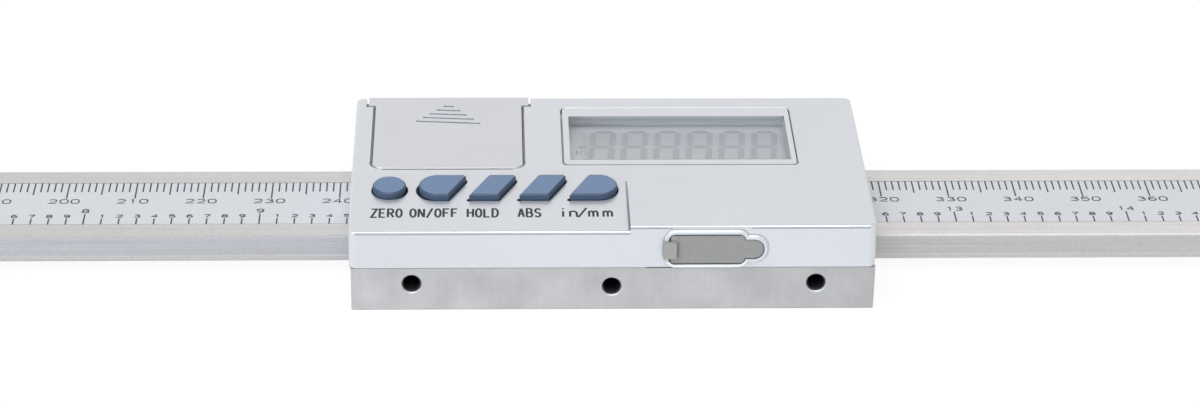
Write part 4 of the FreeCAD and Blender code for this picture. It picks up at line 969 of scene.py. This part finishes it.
marks = placeMarks(coverPlaces)
keyFinish = keyPlastic()
domeSteel = brightSteel("snapDomeSteel", "#B4B5B8", 0.28)
nickel = brightSteel("nickelPlatedStrip", "#BDBCB8", 0.25)
finishes = {
    "scale_beam": groundStainless(bar),
    "electrode_strip": bandedSheet("copperPadLaminate", "#2F5B40", "#B57A4E", pitch=2.54, share=0.55,
                                   metal=0.9, rough=0.4),
    "graduation_plate": printedFoil(),
    "slider_base": milledAluminium(milled),
    "gib_strip": brightSteel("brassStrip", "#C2A05A", 0.35),
    "circuit_board": solderMask(),
    "board_screws": screwSteel,
    "controller_chip": mouldedPlastic("blackEpoxy", "#17171A", "#202024", grainSize=0.3, rough=0.45),
    "data_contacts": brightSteel("giltContacts", "#D9B25A", 0.22),
    "zebra_strips": bandedSheet("layeredRubber", "#2A2A2C", "#55555A", pitch=0.5, share=0.5,
                                metal=0.0, rough=0.7),
    "lcd_glass": polariserGlass(glass),
    "lcd_frame": mouldedPlastic("mouldedFrame", "#F4F5F6", "#FAFAFB", grainSize=0.5, rough=0.55),
    "display_window": clearAcrylic(*marks["window"]),
    "cell_spring": nickel,
    "cell_clip": nickel,
    "coin_cell": brightSteel("brushedCellCan", "#A6A7AA", 0.36, grainSize=1.2),
    "top_cover": silverPaint("silverPaintedCover", "#DADCE1", flakeSize=0.3, flakeDepth=0.02,
                             rough=0.3, edge=0.1, reach=0.6, **marks["cover"]),
    "battery_lid": silverPaint("silverPaintedLid", "#D6D7DC", flakeSize=0.45, flakeDepth=0.03,
                               rough=0.35, edge=0.12, reach=0.25, **marks["lid"]),
    "port_plug": greyRubber(*marks["plug"]),
}
finishes.update({f"{kind}_key": keyFinish for kind in keyKinds})
finishes.update({f"{kind}_dome": domeSteel for kind in keyKinds})
for nodeName, material in finishes.items():
    nodes[nodeName].data.materials[0] = material
print("finishes set on", len(finishes), "nodes")

stage = {
    "floorSize": 8.0,
    "floorGlow": 0.9,  # share of the floor's white that a shadow can't darken
    "floorShade": 0.13,  # and the share that it can
    "floorColours": ("#F4F4F4", "#F6F6F6"),
    "floorGrain": 60,
    "ambient": 0.38,
    "keyPlace": (-0.35, -0.95, 1.75),
    "keySize": (2.0, 1.2),
    "keyPower": 28.8,
    "keyColour": "#FFFFFF",
    "fillPlace": (-1.6, -2.1, 0.5),
    "fillSize": (2.0, 0.8),
    "fillPower": 19.2,
    "fillColour": "#DCF2FF",
    "aim": (-0.01, 0.0, 0.008),
    "dim": 0.15,  # light of the room's dim bands
    "frontBand": (0.6, 0.85),  # angles in radians, from the front over the top, where bands end
    "topBand": (1.25, 1.5),
    "backBand": (1.9, 2.15),
}


def seenDirectly(tree):
    # 1 for rays that show the surroundings: camera, mirror and glass rays
    path = addNode(tree, "LightPath").node.outputs
    mirrored = addNode(tree, "Math MAXIMUM", [path["Is Camera Ray"], path["Is Glossy Ray"]])
    return addNode(tree, "Math MAXIMUM", [mirrored, path["Is Transmission Ray"]])


def buildRoom(spec):
    # a white room, which mirror rays find dim in front of and above the lamps: fine lines along rounded edges
    world = bpy.data.worlds.new("whiteRoom")
    world.use_nodes = True
    tree = world.node_tree
    tree.nodes.clear()
    level = addNode(tree, "MapRange", [seenDirectly(tree), 0, 1, spec["ambient"], 1.0])
    _, y, z = addNode(tree, "SeparateXYZ", [addNode(tree, "TexCoord", out="Generated")]).node.outputs
    ahead = addNode(tree, "Math MULTIPLY", [y, -1.0])
    rise = addNode(tree, "Math ARCTAN2", [z, ahead])
    front, above, behind = (
        addNode(tree, "MapRange", [rise, *spec[band], before, after])
        for band, before, after in (("frontBand", spec["dim"], 1.0), ("topBand", 1.0, spec["dim"]),
                                    ("backBand", 0.0, 1.0)))
    over = addNode(tree, "Math MAXIMUM", [above, behind])
    dimmed = addNode(tree, "Math MULTIPLY", [front, over])
    mirror = addNode(tree, "LightPath", out="Is Glossy Ray")
    share = addNode(tree, "Mix", {0: mirror, 2: 1.0, 3: dimmed}, data_type="FLOAT")
    bright = addNode(tree, "Math MULTIPLY", [level, share])
    room = addNode(tree, "Background", {"Color": (1, 1, 1, 1), "Strength": bright})
    addNode(tree, "OutputWorld", [room])
    bpy.context.scene.world = world


def buildFloor(spec):
    # a pale floor that shows as nearly white, with faint shadows
    half = spec["floorSize"] / 2
    mesh = bpy.data.meshes.new("floor")
    corners = [(-half, -half, 0), (half, -half, 0), (half, half, 0), (-half, half, 0)]
    mesh.from_pydata(corners, [], [(0, 1, 2, 3)])
    material, tree = startMaterial("paleFloor")
    colour, other = spec["floorColours"]
    tone = tinted(tree, colour, grain(tree, spec["floorGrain"], detail=2.0), other)
    plain = addNode(tree, "BsdfDiffuse", {"Color": tone})
    shade = spec["floorShade"]
    weak = addNode(tree, "BsdfDiffuse", {"Color": (shade, shade, shade, 1)})
    glow = addNode(tree, "Emission", {"Color": (1, 1, 1, 1), "Strength": spec["floorGlow"]})
    shown = addNode(tree, "AddShader", [weak, glow])
    surface = addNode(tree, "MixShader", [seenDirectly(tree), plain, shown])
    addNode(tree, "OutputMaterial", [surface])
    mesh.materials.append(material)
    floor = bpy.data.objects.new("floor", mesh)
    bpy.context.scene.collection.objects.link(floor)


def hangLamps(spec):
    # two softboxes turned to the slider
    for name in ("key", "fill"):
        lamp = bpy.data.lights.new(name + "Softbox", "AREA")
        lamp.shape = "RECTANGLE"
        lamp.size, lamp.size_y = spec[name + "Size"]
        lamp.energy = spec[name + "Power"]
        lamp.color = linear(spec[name + "Colour"])[:3]
        box = bpy.data.objects.new(name + "Softbox", lamp)
        box.location = spec[name + "Place"]
        aim = Vector(spec["aim"]) - box.location
        box.rotation_euler = aim.to_track_quat("-Z", "Y").to_euler()
        bpy.context.scene.collection.objects.link(box)


buildRoom(stage)
buildFloor(stage)
hangLamps(stage)

view = {
    "place": (-26.442, -418.818, 236.196),  # millimetres from the part's origin
    "pitch": 28.71151,
    "yaw": 2.28649,
    "roll": 0.94278,
    "focal": 3248.389,  # in pixels of an image 1200 wide
    "imageWidth": 1200,
    "sensor": 36.0,
    "clip": (0.01, 100.0),  # metres
}


def setCamera(spec):
    # the camera rolls about its own axis, looks up from straight down to the pitch and turns right by the yaw
    pitch, yaw, roll = (math.radians(spec[name]) for name in ("pitch", "yaw", "roll"))
    stand = Matrix.Translation(Vector(spec["place"]) * mm)
    for angle, axis in ((-yaw, "Z"), (math.pi / 2 - pitch, "X"), (roll, "Z")):
        stand = stand @ Matrix.Rotation(angle, 4, axis)
    data = bpy.data.cameras.new("camera")
    data.sensor_fit = "HORIZONTAL"
    data.sensor_width = spec["sensor"]
    data.lens = spec["focal"] * spec["sensor"] / spec["imageWidth"]
    data.clip_start, data.clip_end = spec["clip"]
    camera = bpy.data.objects.new("camera", data)
    camera.matrix_world = stand
    bpy.context.scene.collection.objects.link(camera)
    bpy.context.scene.camera = camera


setCamera(view)
bpy.context.scene.view_settings.view_transform = "Standard"
print("stage, lamps and camera set")
